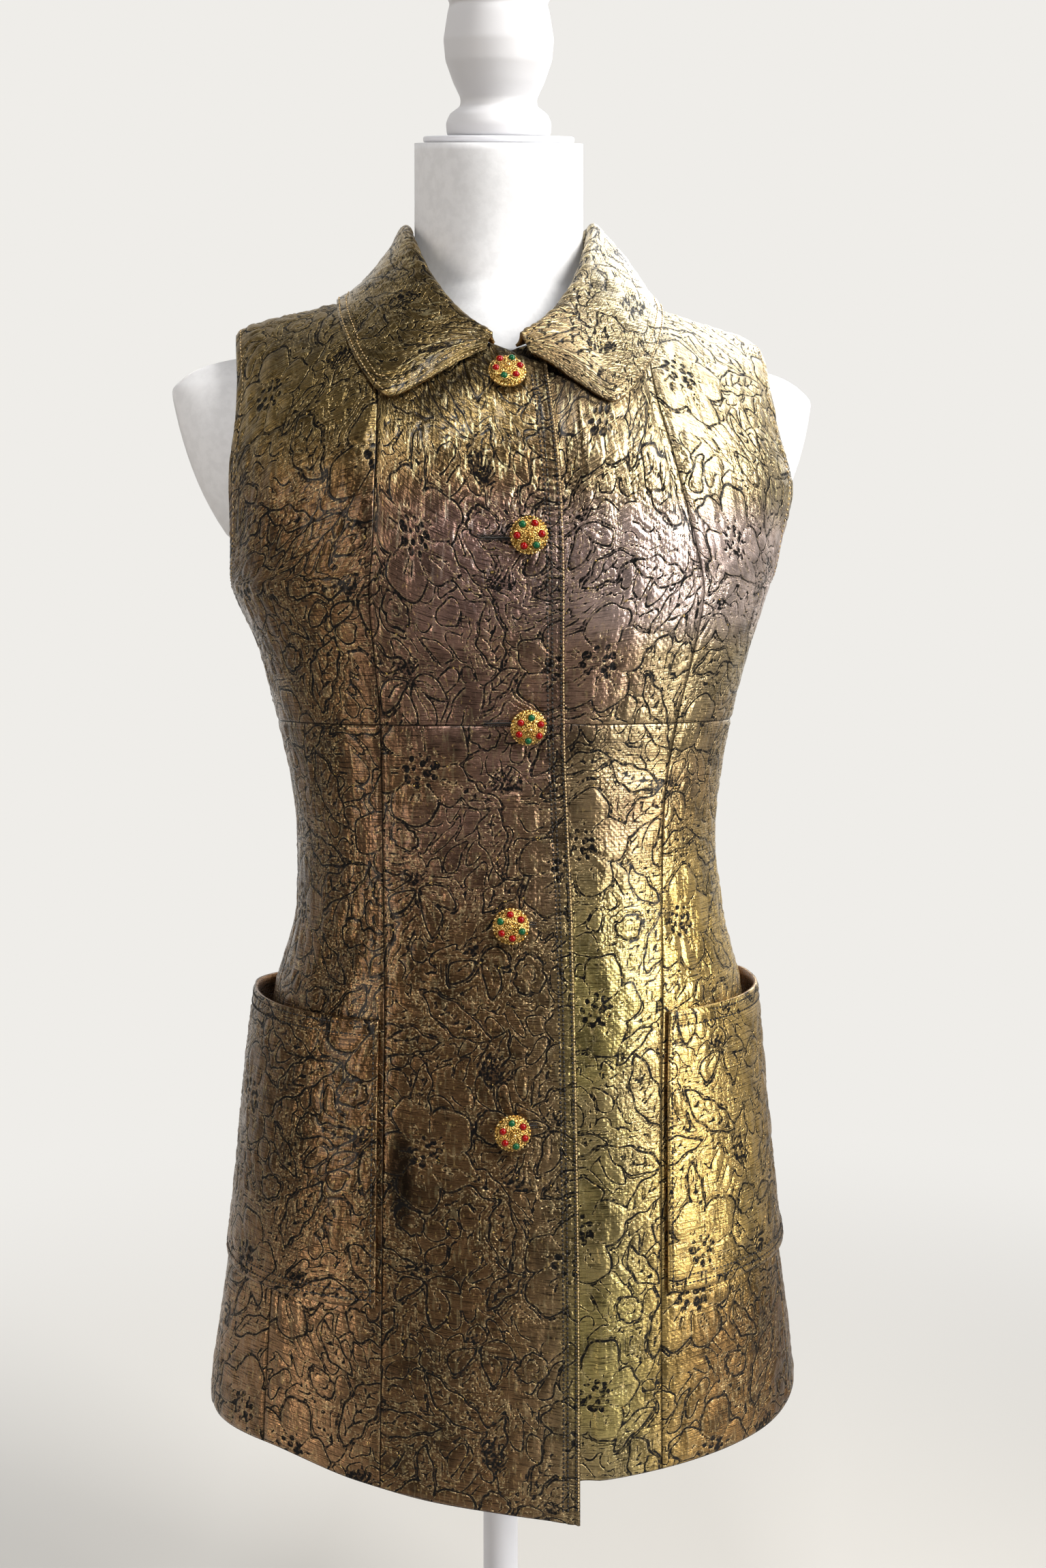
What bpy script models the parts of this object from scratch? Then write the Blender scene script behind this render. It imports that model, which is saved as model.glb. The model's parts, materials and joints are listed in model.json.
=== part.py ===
# A brocade sleeveless top with a pointed collar, five domed buttons and two large hip
# pockets, worn on a smooth white torso form with a neck plate, a finial and a round base.
# Metres, +Z up, the front faces -Y, the floor is z = 0 and the pole stands on the origin.
# An angle of 0 degrees is the middle of the front and grows towards +X, the wearer's left.
# "left" and "right" in the tables are the sides seen from the front: -X and +X.

import math

import bmesh
import bpy
import numpy as np
from mathutils import Matrix, Vector
from mathutils.bvhtree import BVHTree

COLLECTION = "brocade_top_on_dress_form"

# Driving sizes of the garment
WALL = 0.0016
SEAM_GAP = 0.0003
WAIST_Z = 0.7225
POCKET_BOTTOM_Z = 0.395
POCKET_TOP_Z = 0.556
NECK_HALF_WIDTH = 0.072

# The shoulder line falls from the neck to the tip, where it rounds over
RIDGE_AT_CENTRE_Z = 0.9945
RIDGE_FALL = 0.25
TIP_START = 0.145
TIP_ROUNDING = 20.0
SHOULDER_ROLL = 0.11

# The wearer's right front laps over the left one, which drops under it
UNDER_DROP = 0.0032
UNDER_BLEND = 0.014
LAP_LIFT = 0.0012
LAP_LIFT_WIDTH = 0.020

# Raised motifs of the weave, on a repeat this large
PUFF = 0.0008
TILE_WIDTH = 0.170
TILE_HEIGHT = 0.220
BUTTON_REST = 0.016

# Steps up the panels above and below the waist
UPPER_ROWS = 18
LOWER_ROWS = 28

# Pockets lie on the skirt and stand away from it at the mouth
POCKET_CLEAR = 0.0011
POCKET_WALL = 0.0018
POCKET_GAPE = {"left": 0.0100, "right": 0.0085}
POCKET_BACK_ANGLE = 112.0

# The collar is one folded sheet
COLLAR_WALL = 0.0016
COLLAR_CLEAR = 0.0007
COLLAR_SHIFT = -0.0060
COLLAR_FOLD = 0.0022
COLLAR_FOOT_GAP = 0.0012
COLLAR_STATIONS = 23

# Horizontal sections of the garment: half widths, depths and squareness
SECTION_COLUMNS = ("z", "left", "right", "front", "back", "square")
SECTIONS = (
    (0.255, 0.183, 0.192, 0.1225, 0.118, 2.30),
    (0.300, 0.182, 0.190, 0.1220, 0.119, 2.30),
    (0.356, 0.175, 0.184, 0.1215, 0.120, 2.30),
    (0.427, 0.164, 0.172, 0.1190, 0.120, 2.30),
    (0.500, 0.152, 0.160, 0.1130, 0.116, 2.30),
    (0.560, 0.139, 0.150, 0.1070, 0.107, 2.30),
    (0.610, 0.126, 0.138, 0.1020, 0.097, 2.30),
    (0.655, 0.125, 0.134, 0.0990, 0.091, 2.30),
    (0.690, 0.129, 0.137, 0.0995, 0.089, 2.30),
    (0.7225, 0.136, 0.143, 0.1030, 0.091, 2.30),
    (0.767, 0.147, 0.154, 0.1120, 0.098, 2.30),
    (0.802, 0.162, 0.165, 0.1210, 0.105, 2.30),
    (0.830, 0.168, 0.174, 0.1240, 0.109, 2.30),
    (0.862, 0.171, 0.183, 0.1220, 0.111, 2.30),
    (0.900, 0.168, 0.176, 0.1130, 0.110, 2.30),
    (0.950, 0.166, 0.172, 0.1030, 0.104, 2.30),
    (1.000, 0.165, 0.171, 0.0980, 0.100, 2.30),
)

# Distance of the front princess seams from the middle
PRINCESS_COLUMNS = ("z", "left", "right")
PRINCESS = (
    (0.250, 0.0810, 0.0832),
    (0.390, 0.0785, 0.0822),
    (0.500, 0.0765, 0.0832),
    (0.575, 0.0750, 0.0858),
    (0.665, 0.0752, 0.0873),
    (0.725, 0.0762, 0.0945),
    (0.755, 0.0787, 0.1010),
    (0.795, 0.0820, 0.1062),
    (0.822, 0.0800, 0.0996),
    (0.865, 0.0780, 0.0870),
    (0.914, 0.0757, 0.0775),
    (1.000, 0.0745, 0.0755),
)

# Angles of the side seams, which pass into the armholes' edges at the underarm
SIDE_COLUMNS = ("z", "left", "right")
SIDE_SEAM = (
    (0.250, 61.0, 72.0),
    (0.400, 62.0, 73.0),
    (0.560, 80.0, 82.0),
    (0.720, 86.0, 86.0),
    (0.802, 88.0, 88.0),
)
ARMHOLE_COLUMNS = ("z", "front", "back")
ARMHOLE = (
    (0.802, 88.0, 88.0),
    (0.807, 82.0, 96.0),
    (0.816, 77.5, 102.0),
    (0.830, 74.0, 106.0),
    (0.855, 72.3, 108.5),
    (0.885, 72.0, 109.0),
    (0.915, 72.8, 108.0),
    (0.940, 75.0, 105.0),
    (0.970, 77.5, 102.0),
)

# Angles of the back princess seams
BACK_COLUMNS = ("z", "angle")
BACK_SEAM = (
    (0.250, 136.0),
    (0.560, 139.0),
    (0.7225, 141.0),
    (0.830, 136.0),
    (0.900, 140.0),
    (1.000, 142.0),
)

# The lap's free edge, by its distance past the middle
LAP_COLUMNS = ("z", "edge")
LAP_EDGE = (
    (0.250, 0.0335),
    (0.450, 0.0328),
    (0.600, 0.0315),
    (0.730, 0.0262),
    (0.850, 0.0213),
    (0.930, 0.0150),
)

# The hem, by angle: the lapping front dips towards the middle
HEM_COLUMNS = ("angle", "lapping", "under")
HEM = (
    (-180.0, 0.2940, 0.2940),
    (-90.0, 0.2990, 0.2990),
    (-61.0, 0.3045, 0.3045),
    (-40.0, 0.2930, 0.2920),
    (-25.0, 0.2840, 0.2900),
    (-8.0, 0.2760, 0.2895),
    (5.0, 0.2700, 0.2890),
    (18.0, 0.2645, 0.2895),
    (60.0, 0.2600, 0.2950),
    (90.0, 0.2600, 0.3050),
    (180.0, 0.2600, 0.2940),
)

# Neckline heights, by distance from the middle on the panel's own side
NECKLINE_COLUMNS = ("x", "front", "back")
NECKLINE = (
    (-0.040, 0.9150, 0.9660),
    (-0.016, 0.9215, 0.9660),
    (0.000, 0.9290, 0.9660),
    (0.020, 0.9375, 0.9665),
    (0.040, 0.9520, 0.9685),
    (0.058, 0.9670, 0.9715),
    (0.072, 0.9765, 0.9765),
)

# Raised flowers and leaves of one repeat: place, reach in metres and turn in degrees
MOTIFS = (
    ("flower", 0.030, 0.036, 0.026, 10.0),
    ("flower", 0.118, 0.090, 0.028, 45.0),
    ("flower", 0.040, 0.160, 0.024, 80.0),
    ("leaf", 0.078, 0.052, 0.022, 35.0),
    ("leaf", 0.070, 0.118, 0.024, 120.0),
    ("leaf", 0.145, 0.035, 0.022, 100.0),
    ("leaf", 0.100, 0.150, 0.020, 20.0),
    ("leaf", 0.140, 0.185, 0.024, 150.0),
    ("leaf", 0.012, 0.098, 0.021, 70.0),
    ("leaf", 0.085, 0.200, 0.022, 60.0),
)

# Halves of the collar, from the V to the middle of the back: where it is sewn on, its roll
# and its outer edge. Heights and depths of sewn and edge points lie on the garment.
COLLAR_COLUMNS = ("sewn_x", "sewn_z", "roll_x", "roll_y", "roll_z", "edge_x", "edge_z", "bulge", "side")
COLLAR_LAPPING = (
    (0.0060, 0.9315, 0.0080, -0.1010, 0.9345, 0.0115, 0.9275, 0.0005, "front"),
    (0.0180, 0.9362, 0.0190, -0.0935, 0.9425, 0.0265, 0.9195, 0.0015, "front"),
    (0.0300, 0.9440, 0.0300, -0.0830, 0.9540, 0.0445, 0.9085, 0.0020, "front"),
    (0.0410, 0.9530, 0.0390, -0.0700, 0.9680, 0.0635, 0.9000, 0.0020, "front"),
    (0.0510, 0.9612, 0.0460, -0.0560, 0.9820, 0.0770, 0.9140, 0.0010, "front"),
    (0.0600, 0.9685, 0.0510, -0.0400, 0.9960, 0.0865, 0.9330, -0.0010, "front"),
    (0.0680, 0.9740, 0.0545, -0.0220, 1.0080, 0.0935, 0.9540, -0.0030, "front"),
    (0.0715, 0.9766, 0.0560, -0.0020, 1.0155, 0.0960, 0.9703, -0.0045, "ridge"),
    (0.0670, 0.9745, 0.0545, 0.0200, 1.0175, 0.0900, 0.9620, -0.0020, "back"),
    (0.0520, 0.9702, 0.0455, 0.0400, 1.0180, 0.0720, 0.9550, 0.0010, "back"),
    (0.0280, 0.9674, 0.0250, 0.0540, 1.0180, 0.0400, 0.9500, 0.0015, "back"),
    (0.0000, 0.9664, 0.0000, 0.0590, 1.0180, 0.0000, 0.9480, 0.0015, "back"),
)
COLLAR_UNDER = (
    (0.0060, 0.9315, 0.0080, -0.1010, 0.9345, 0.0130, 0.9245, 0.0005, "front"),
    (0.0180, 0.9362, 0.0190, -0.0935, 0.9425, 0.0260, 0.9170, 0.0015, "front"),
    (0.0300, 0.9440, 0.0300, -0.0830, 0.9540, 0.0410, 0.9070, 0.0020, "front"),
    (0.0410, 0.9530, 0.0390, -0.0700, 0.9680, 0.0570, 0.8985, 0.0020, "front"),
    (0.0510, 0.9612, 0.0460, -0.0560, 0.9830, 0.0750, 0.9140, 0.0025, "front"),
    (0.0600, 0.9685, 0.0510, -0.0400, 0.9980, 0.0865, 0.9330, 0.0025, "front"),
    (0.0680, 0.9740, 0.0550, -0.0220, 1.0110, 0.0935, 0.9540, 0.0025, "front"),
    (0.0715, 0.9766, 0.0570, -0.0020, 1.0200, 0.0960, 0.9703, 0.0025, "ridge"),
    (0.0670, 0.9745, 0.0555, 0.0200, 1.0205, 0.0900, 0.9620, 0.0015, "back"),
    (0.0520, 0.9702, 0.0460, 0.0400, 1.0195, 0.0720, 0.9550, 0.0015, "back"),
    (0.0280, 0.9674, 0.0250, 0.0540, 1.0185, 0.0400, 0.9500, 0.0015, "back"),
    (0.0000, 0.9664, 0.0000, 0.0590, 1.0180, 0.0000, 0.9480, 0.0015, "back"),
)

# Buttons, top to bottom: place on the lap and a small lean to the side and upwards
BUTTON_COLUMNS = ("x", "z", "lean_side", "lean_up")
BUTTONS = (
    (-0.0065, 0.9120, 4.0, 5.0),
    (0.0035, 0.8255, -5.0, 3.0),
    (0.0050, 0.7225, 5.0, -5.0),
    (-0.0040, 0.6095, -4.0, 4.0),
    (-0.0050, 0.4950, 5.0, -3.0),
)
BUTTON_RADIUS = 0.0105
SHANK_LENGTH = 0.0024
SHANK_RADIUS = 0.0028
BUTTON_CLEAR = 0.0004
BUTTON_TILT = 6.0

# The torso form: its own sections, shoulder caps, neck and rounded foot
FORM_COLUMNS = ("z", "half", "front", "back")
FORM_SECTIONS = (
    (0.395, 0.150, 0.107, 0.108),
    (0.450, 0.146, 0.104, 0.106),
    (0.500, 0.138, 0.099, 0.102),
    (0.550, 0.125, 0.093, 0.094),
    (0.600, 0.113, 0.088, 0.084),
    (0.655, 0.110, 0.084, 0.077),
    (0.7225, 0.120, 0.088, 0.077),
    (0.767, 0.131, 0.097, 0.084),
    (0.802, 0.142, 0.105, 0.092),
    (0.860, 0.149, 0.105, 0.097),
    (0.900, 0.147, 0.098, 0.095),
    (0.950, 0.142, 0.088, 0.087),
    (1.000, 0.140, 0.083, 0.083),
)
FORM_SQUARE = 2.2
FORM_BLEND = 20.0
SEAT_X = 0.105
SEAT_GAP = 0.0018
SEAT_FALL_OUT = 6.0
SEAT_FALL_IN = 4.0
CAP_COLUMNS = ("z", "reach", "depth")
CAP_SECTIONS = (
    (0.8110, 0.120, 0.026),
    (0.8300, 0.161, 0.040),
    (0.8450, 0.172, 0.044),
    (0.8650, 0.182, 0.047),
    (0.8850, 0.189, 0.048),
    (0.9050, 0.194, 0.041),
    (0.9180, 0.196, 0.033),
    (0.9255, 0.190, 0.028),
    (0.9310, 0.182, 0.024),
    (0.9350, 0.171, 0.020),
    (0.9380, 0.156, 0.017),
)
CAP_POWER = 4.0
NECK_COLUMNS = ("z", "half", "front", "back")
NECK_SECTIONS = (
    (0.9300, 0.0600, 0.0800, 0.0600),
    (0.9450, 0.0570, 0.0720, 0.0580),
    (0.9550, 0.0550, 0.0660, 0.0570),
    (0.9650, 0.0530, 0.0600, 0.0545),
    (0.9800, 0.0515, 0.0550, 0.0525),
    (1.0000, 0.0508, 0.0530, 0.0515),
    (1.0700, 0.0495, 0.0515, 0.0505),
)
NECK_LEAN = 0.24
NECK_LEAN_FROM_Z = 0.975
LEAN_TOWARDS = -5.7
FORM_BOTTOM_Z = 0.392
FORM_FOOT = 0.045
FORM_TOP_Z = 1.062
FORM_QUARTER = (0, 16, 31, 45, 57, 67, 74.5, 80, 84, 87.5)

# What stands on the neck and what carries the form
PLATE_LEAN = 17.0
PLATE_RADIUS = 0.0445
PLATE_THICKNESS = 0.0035
PLATE_BEVEL = 0.0008
POLE_RADIUS = 0.0112
PART_GAP = 0.0003
BASE_PROFILE = (
    (0.0000, 0.0340),
    (0.0150, 0.0340),
    (0.0185, 0.0300),
    (0.0200, 0.0200),
    (0.0300, 0.0160),
    (0.1480, 0.0130),
    (0.1570, 0.0105),
    (0.1600, 0.0050),
    (0.1590, 0.0000),
    (0.0000, 0.0000),
)
FINIAL_PROFILE = (
    (0.0000, 0.0960),
    (0.0080, 0.0945),
    (0.0165, 0.0890),
    (0.0285, 0.0765),
    (0.0302, 0.0735),
    (0.0278, 0.0695),
    (0.0292, 0.0650),
    (0.0318, 0.0510),
    (0.0308, 0.0400),
    (0.0265, 0.0285),
    (0.0222, 0.0200),
    (0.0225, 0.0160),
    (0.0285, 0.0120),
    (0.0310, 0.0070),
    (0.0305, 0.0000),
    (0.0000, 0.0000),
)


def smooth(x, xs, ys):
    """A cubic curve through a table's rows that doesn't overshoot them."""
    xs = np.asarray(xs, float)
    ys = np.asarray(ys, float)
    x = np.clip(x, xs[0], xs[-1])
    slope = np.diff(ys) / np.diff(xs)
    pairs = slope[:-1] * slope[1:]
    middle = np.where(pairs > 0, 2 * pairs / (slope[:-1] + slope[1:] + (pairs <= 0)), 0.0)
    tangent = np.concatenate([slope[:1], middle, slope[-1:]])
    i = np.clip(np.searchsorted(xs, x) - 1, 0, len(xs) - 2)
    step = xs[i + 1] - xs[i]
    t = (x - xs[i]) / step
    low = (1 + 2 * t) * (1 - t) ** 2 * ys[i] + t * (1 - t) ** 2 * step * tangent[i]
    high = t * t * (3 - 2 * t) * ys[i + 1] + t * t * (t - 1) * step * tangent[i + 1]
    return low + high


def read(rows, columns, name, x):
    """The named column of a table at x, where x is read along the first column."""
    first = [row[0] for row in rows]
    values = [row[columns.index(name)] for row in rows]
    return smooth(x, first, values)


def ease(t):
    """0 to 1 with soft ends."""
    t = np.clip(t, 0.0, 1.0)
    return t * t * (3 - 2 * t)


def ridge_height(x):
    """Height of the shoulder line at a distance from the middle."""
    past_tip = np.maximum(np.abs(x) - TIP_START, 0.0)
    return RIDGE_AT_CENTRE_Z - RIDGE_FALL * np.abs(x) - TIP_ROUNDING * past_tip**2


def roll_over(x, z, ridge):
    """Share of the full depth that is left near the shoulder line, 0 on the line itself."""
    down = np.clip((ridge - z) / SHOULDER_ROLL, 0.0, 1.0)
    return np.sqrt(np.maximum(1 - (1 - down) ** 2, 0.0))


def half_width(z, right):
    left_half = read(SECTIONS, SECTION_COLUMNS, "left", z)
    right_half = read(SECTIONS, SECTION_COLUMNS, "right", z)
    return np.where(right, right_half, left_half)


def full_depth(z, front):
    front_depth = read(SECTIONS, SECTION_COLUMNS, "front", z)
    back_depth = read(SECTIONS, SECTION_COLUMNS, "back", z)
    return np.where(front, front_depth, back_depth)


def garment_point(angle, z):
    """The garment's plain outer face at an angle in radians and a height."""
    angle, z = np.broadcast_arrays(angle, z)
    across, ahead = np.sin(angle), np.cos(angle)
    half = half_width(z, across > 0)
    depth = full_depth(z, ahead > 0)
    n = read(SECTIONS, SECTION_COLUMNS, "square", z)
    reach = ((np.abs(across) / half) ** n + (np.abs(ahead) / depth) ** n) ** (-1 / n)
    x = reach * across
    y = -reach * ahead * roll_over(x, z, ridge_height(x))
    return np.stack([x, y, z], axis=-1)


def angle_at(x, z, front=True):
    """Angle of the point of a section that lies x from the middle."""
    half = half_width(z, np.asarray(x) > 0)
    depth = full_depth(z, np.full(np.shape(z), front))
    n = read(SECTIONS, SECTION_COLUMNS, "square", z)
    share = np.minimum(np.abs(x) / half, 0.999)
    y = depth * (1 - share**n) ** (1 / n)
    angle = np.arctan2(np.abs(x), y)
    return np.where(np.asarray(x) < 0, -1, 1) * (angle if front else math.pi - angle)


def garment_frame(angle, z):
    """A point of the garment's face and the outward direction there."""
    small = 1e-4
    here = garment_point(angle, z)
    beside = garment_point(angle + small, z)
    below = garment_point(angle, z - small)
    out = np.cross(beside - here, here - below)
    return here, out / np.linalg.norm(out, axis=-1, keepdims=True)


# Edges of the panels, as angles by height

def princess(side):
    name = "left" if side < 0 else "right"
    return lambda z: angle_at(side * read(PRINCESS, PRINCESS_COLUMNS, name, z), z)


def back_princess(side):
    return lambda z: side * np.radians(read(BACK_SEAM, BACK_COLUMNS, "angle", z))


def side_edge(side, part):
    """The side seam, and above it the front or the back edge of the armhole."""
    name = "left" if side < 0 else "right"
    underarm = ARMHOLE[0][0]

    def edge(z):
        seam = read(SIDE_SEAM, SIDE_COLUMNS, name, z)
        armhole = read(ARMHOLE, ARMHOLE_COLUMNS, part, z)
        return side * np.radians(np.where(z < underarm, seam, armhole))

    return edge


def lap_edge(side):
    return lambda z: angle_at(side * read(LAP_EDGE, LAP_COLUMNS, "edge", z), z)


def round_the_back(edge):
    """The same edge, with its angle counted on past the middle of the back."""
    return lambda z: edge(z) + 2 * math.pi


def waist(angle, z):
    return np.full(np.shape(angle), WAIST_Z)


def hem(name):
    def height(angle, z):
        degrees = (np.degrees(angle) + 180.0) % 360.0 - 180.0
        return read(HEM, HEM_COLUMNS, name, degrees)

    return height


def collar_shift(y):
    """The neckline and the collar sit a little to the left at the front."""
    return COLLAR_SHIFT * np.clip(-y / 0.1, 0.0, 1.0)


def top_edge(side, part):
    """The neckline near the neck, and the shoulder line beyond it."""
    def height(angle, z):
        here = garment_point(angle, z)
        x = here[..., 0]
        own = side * (x - collar_shift(here[..., 1])) if side else np.abs(x)
        neckline = read(NECKLINE, NECKLINE_COLUMNS, part, own)
        ridge = ridge_height(x)
        return np.where(own < NECK_HALF_WIDTH, np.minimum(neckline, ridge), ridge)

    return height


def settle(height, angle_of, z):
    """The height where a column of angles meets an edge given as a height by angle."""
    for _ in range(14):
        z = height(angle_of(z), z)
    return z


def panel_grid(start, end, bottom, top, rows, columns):
    """Rows of points from one seam to the other, with even steps up every column."""
    shares = np.arange(-1, columns + 2) / columns
    grid = np.zeros((rows + 1, columns + 3, 3))
    for i, share in enumerate(shares):
        angle_of = lambda z, s=share: start(z) + (end(z) - start(z)) * s
        low = settle(bottom, angle_of, np.array(0.50))
        high = settle(top, angle_of, np.array(0.90))
        fine = low + (high - low) * (1 - (1 - np.linspace(0, 1, 241)) ** 2)
        line = garment_point(angle_of(fine), fine)
        length = np.concatenate([[0], np.cumsum(np.linalg.norm(np.diff(line, axis=0), axis=1))])
        heights = np.interp(np.linspace(0, length[-1], rows + 1), length, fine)
        grid[:, i] = garment_point(angle_of(heights), heights)
    return grid


def grid_directions(grid):
    """Outward directions of a grid that has one spare column on each side."""
    tall = np.concatenate([[2 * grid[0] - grid[1]], grid, [2 * grid[-1] - grid[-2]]])
    up = tall[2:] - tall[:-2]
    along = np.empty_like(grid)
    along[:, 1:-1] = grid[:, 2:] - grid[:, :-2]
    out = np.cross(along[:, 1:-1], up[:, 1:-1])
    on_ridge = np.abs(grid[-1, 1:-1, 1]) < 1e-6
    out[-1, on_ridge, 1] = 0.0
    return out / np.linalg.norm(out, axis=-1, keepdims=True)


def pull_in_edges(grid, amount):
    """Each edge of a grid moved inwards along the cloth, to leave a gap at the seam."""
    def towards(a, b):
        return (b - a) / np.linalg.norm(b - a, axis=-1, keepdims=True) * amount

    moved = grid.copy()
    moved[:, 0] += towards(grid[:, 0], grid[:, 1])
    moved[:, -1] += towards(grid[:, -1], grid[:, -2])
    moved[0] += towards(grid[0], grid[1])
    moved[-1] += towards(grid[-1], grid[-2])
    return moved


def cloth_places(grid):
    """Distances along and up the cloth from the middle column's foot, for each point."""
    across = np.linalg.norm(np.diff(grid, axis=1), axis=-1)
    along = np.concatenate([np.zeros((len(grid), 1)), np.cumsum(across, axis=1)], axis=1)
    middle = grid.shape[1] // 2
    along -= along[:, middle:middle + 1]
    steps = np.linalg.norm(np.diff(grid[:, middle], axis=0), axis=-1)
    up = np.concatenate([[0], np.cumsum(steps)])
    return along, np.repeat(up[:, None], grid.shape[1], axis=1)


def motif_height(along, up):
    """How far the weave's flowers and leaves stand out, from 0 to 1."""
    height = np.zeros(np.shape(along))
    for kind, centre_along, centre_up, reach, turn in MOTIFS:
        du = (along - centre_along + TILE_WIDTH / 2) % TILE_WIDTH - TILE_WIDTH / 2
        dv = (up - centre_up + TILE_HEIGHT / 2) % TILE_HEIGHT - TILE_HEIGHT / 2
        turned = math.radians(turn)
        a = du * math.cos(turned) + dv * math.sin(turned)
        b = dv * math.cos(turned) - du * math.sin(turned)
        if kind == "flower":
            petals = 0.85 + 0.15 * np.cos(5 * np.arctan2(b, a))
            far = np.hypot(a, b) / (reach * petals)
        else:
            far = np.hypot(a / reach, b / (0.45 * reach))
        height = np.maximum(height, np.clip(1 - far**2, 0, 1) ** 0.7)
    return height


def bare_places(grid):
    """1 on open cloth, 0 where another piece lies on it."""
    x, y, z = grid[..., 0], grid[..., 1], grid[..., 2]
    under_collar = ease((z - 0.880) / 0.012) * ease((0.112 - np.abs(x)) / 0.01)
    degrees = np.degrees(np.abs(np.arctan2(x, -y)))
    in_pocket = (z > POCKET_BOTTOM_Z - 0.012) & (z < POCKET_TOP_Z + 0.012)
    in_pocket &= (degrees > 30) & (degrees < POCKET_BACK_ANGLE + 8)
    free = (1 - under_collar) * ~in_pocket
    for button_x, button_z, _, _ in BUTTONS:
        far = np.hypot(x - button_x, z - button_z)
        free = np.where((far < BUTTON_REST) & (y < 0), 0.0, free)
    return free


def lap_offset(grid, side):
    """The lapping front lifts at its free edge, and the other one drops under it."""
    x, z = grid[..., 0], grid[..., 2]
    edge = read(LAP_EDGE, LAP_COLUMNS, "edge", z)
    if side < 0:
        return LAP_LIFT * ease((x - edge + LAP_LIFT_WIDTH) / LAP_LIFT_WIDTH)
    return -UNDER_DROP * (1 - ease((x - edge - 0.002) / UNDER_BLEND))


def wall_object(name, outer, inner, step, material):
    """A closed wall between an outer grid and an inner one of every step-th point."""
    rows, columns = outer.shape[0], outer.shape[1]
    inner_rows, inner_columns = inner.shape[0], inner.shape[1]
    points = [tuple(p) for p in outer.reshape(-1, 3)] + [tuple(p) for p in inner.reshape(-1, 3)]

    def out_at(r, c):
        return r * columns + c

    def in_at(r, c):
        return rows * columns + (r // step) * inner_columns + c // step

    faces = []
    for r in range(rows - 1):
        for c in range(columns - 1):
            faces.append((out_at(r, c), out_at(r, c + 1), out_at(r + 1, c + 1), out_at(r + 1, c)))
    for r in range(0, rows - 1, step):
        for c in range(0, columns - 1, step):
            faces.append((in_at(r, c), in_at(r + step, c), in_at(r + step, c + step), in_at(r, c + step)))

    loop = [(0, c) for c in range(columns)]
    loop += [(r, columns - 1) for r in range(1, rows)]
    loop += [(rows - 1, c) for c in range(columns - 2, -1, -1)]
    loop += [(r, 0) for r in range(rows - 2, 0, -1)]
    loop.append((0, 0))
    for i in range(0, len(loop) - 1, step):
        first, last = loop[i], loop[i + step]
        if step == 1:
            faces.append((out_at(*last), out_at(*first), in_at(*first), in_at(*last)))
            continue
        middle = loop[i + 1]
        faces.append((out_at(*middle), out_at(*first), in_at(*first)))
        faces.append((out_at(*middle), in_at(*first), in_at(*last)))
        faces.append((out_at(*last), out_at(*middle), in_at(*last)))
    mesh = bpy.data.meshes.new(name)
    mesh.from_pydata(points, [], faces)
    mesh.validate()
    return place(name, mesh, material)


def place(name, mesh, material):
    obj = bpy.data.objects.new(name, mesh)
    mesh.materials.append(material)
    bpy.data.collections[COLLECTION].objects.link(obj)
    return obj


def cloth_panel(name, start, end, bottom, top, rows, columns, material, lap=0, shift=(0.0, 0.0)):
    """One cut piece: raised motifs outside over a plain inside, with gaps at its seams."""
    spare = panel_grid(start, end, bottom, top, rows, columns)
    out = grid_directions(spare)
    grid = spare[:, 1:-1]
    along, up = cloth_places(grid)
    raised = PUFF * motif_height(along + shift[0], up + shift[1]) * bare_places(grid)
    raised[[0, -1]] = 0.0
    raised[:, [0, -1]] = 0.0
    offset = lap_offset(grid, lap) if lap else np.zeros(grid.shape[:2])
    if lap > 0:
        raised = np.where(offset < -1e-5, 0.0, raised)
    trimmed = pull_in_edges(grid, SEAM_GAP / 2)
    outer = trimmed + out * (offset + raised)[..., None]
    inner = (trimmed + out * (offset - WALL)[..., None])[::2, ::2]
    return wall_object(name, outer, inner, 2, material)


def make_panels(material):
    fronts = ((-1, "right"), (1, "left"))
    for side, word in fronts:
        lapping = "lapping" if side < 0 else "under"
        neck = top_edge(side, "front")
        free = lap_edge(1 if side < 0 else -1)
        seam = princess(side)
        start, end = (seam, free) if side < 0 else (free, seam)
        cloth_panel(f"{word}_centre_front_upper", start, end, waist, neck, UPPER_ROWS, 10, material,
                    lap=side, shift=(0.02 * side, 0.0))
        cloth_panel(f"{word}_centre_front_lower", start, end, hem(lapping), waist, LOWER_ROWS, 10, material,
                    lap=side, shift=(0.02 * side, 0.11))
        flank = side_edge(side, "front")
        start, end = (flank, seam) if side < 0 else (seam, flank)
        cloth_panel(f"{word}_side_front_upper", start, end, waist, neck, UPPER_ROWS, 8, material,
                    shift=(0.06, 0.05 * side))
        cloth_panel(f"{word}_side_front_lower", start, end, hem(lapping), waist, LOWER_ROWS, 8, material,
                    shift=(0.06, 0.16))
        rear = top_edge(0, "back")
        flank = side_edge(side, "back")
        seam = back_princess(side)
        start, end = (seam, flank) if side < 0 else (flank, seam)
        cloth_panel(f"{word}_side_back_upper", start, end, waist, rear, UPPER_ROWS, 6, material,
                    shift=(0.10, 0.08))
        cloth_panel(f"{word}_side_back_lower", start, end, hem("under"), waist, LOWER_ROWS, 8, material,
                    shift=(0.10, 0.02))
    start, end = back_princess(1), round_the_back(back_princess(-1))
    cloth_panel("centre_back_upper", start, end, waist, top_edge(0, "back"), UPPER_ROWS, 12, material,
                shift=(0.04, 0.13))
    cloth_panel("centre_back_lower", start, end, hem("under"), waist, LOWER_ROWS, 12, material,
                shift=(0.04, 0.05))


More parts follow.
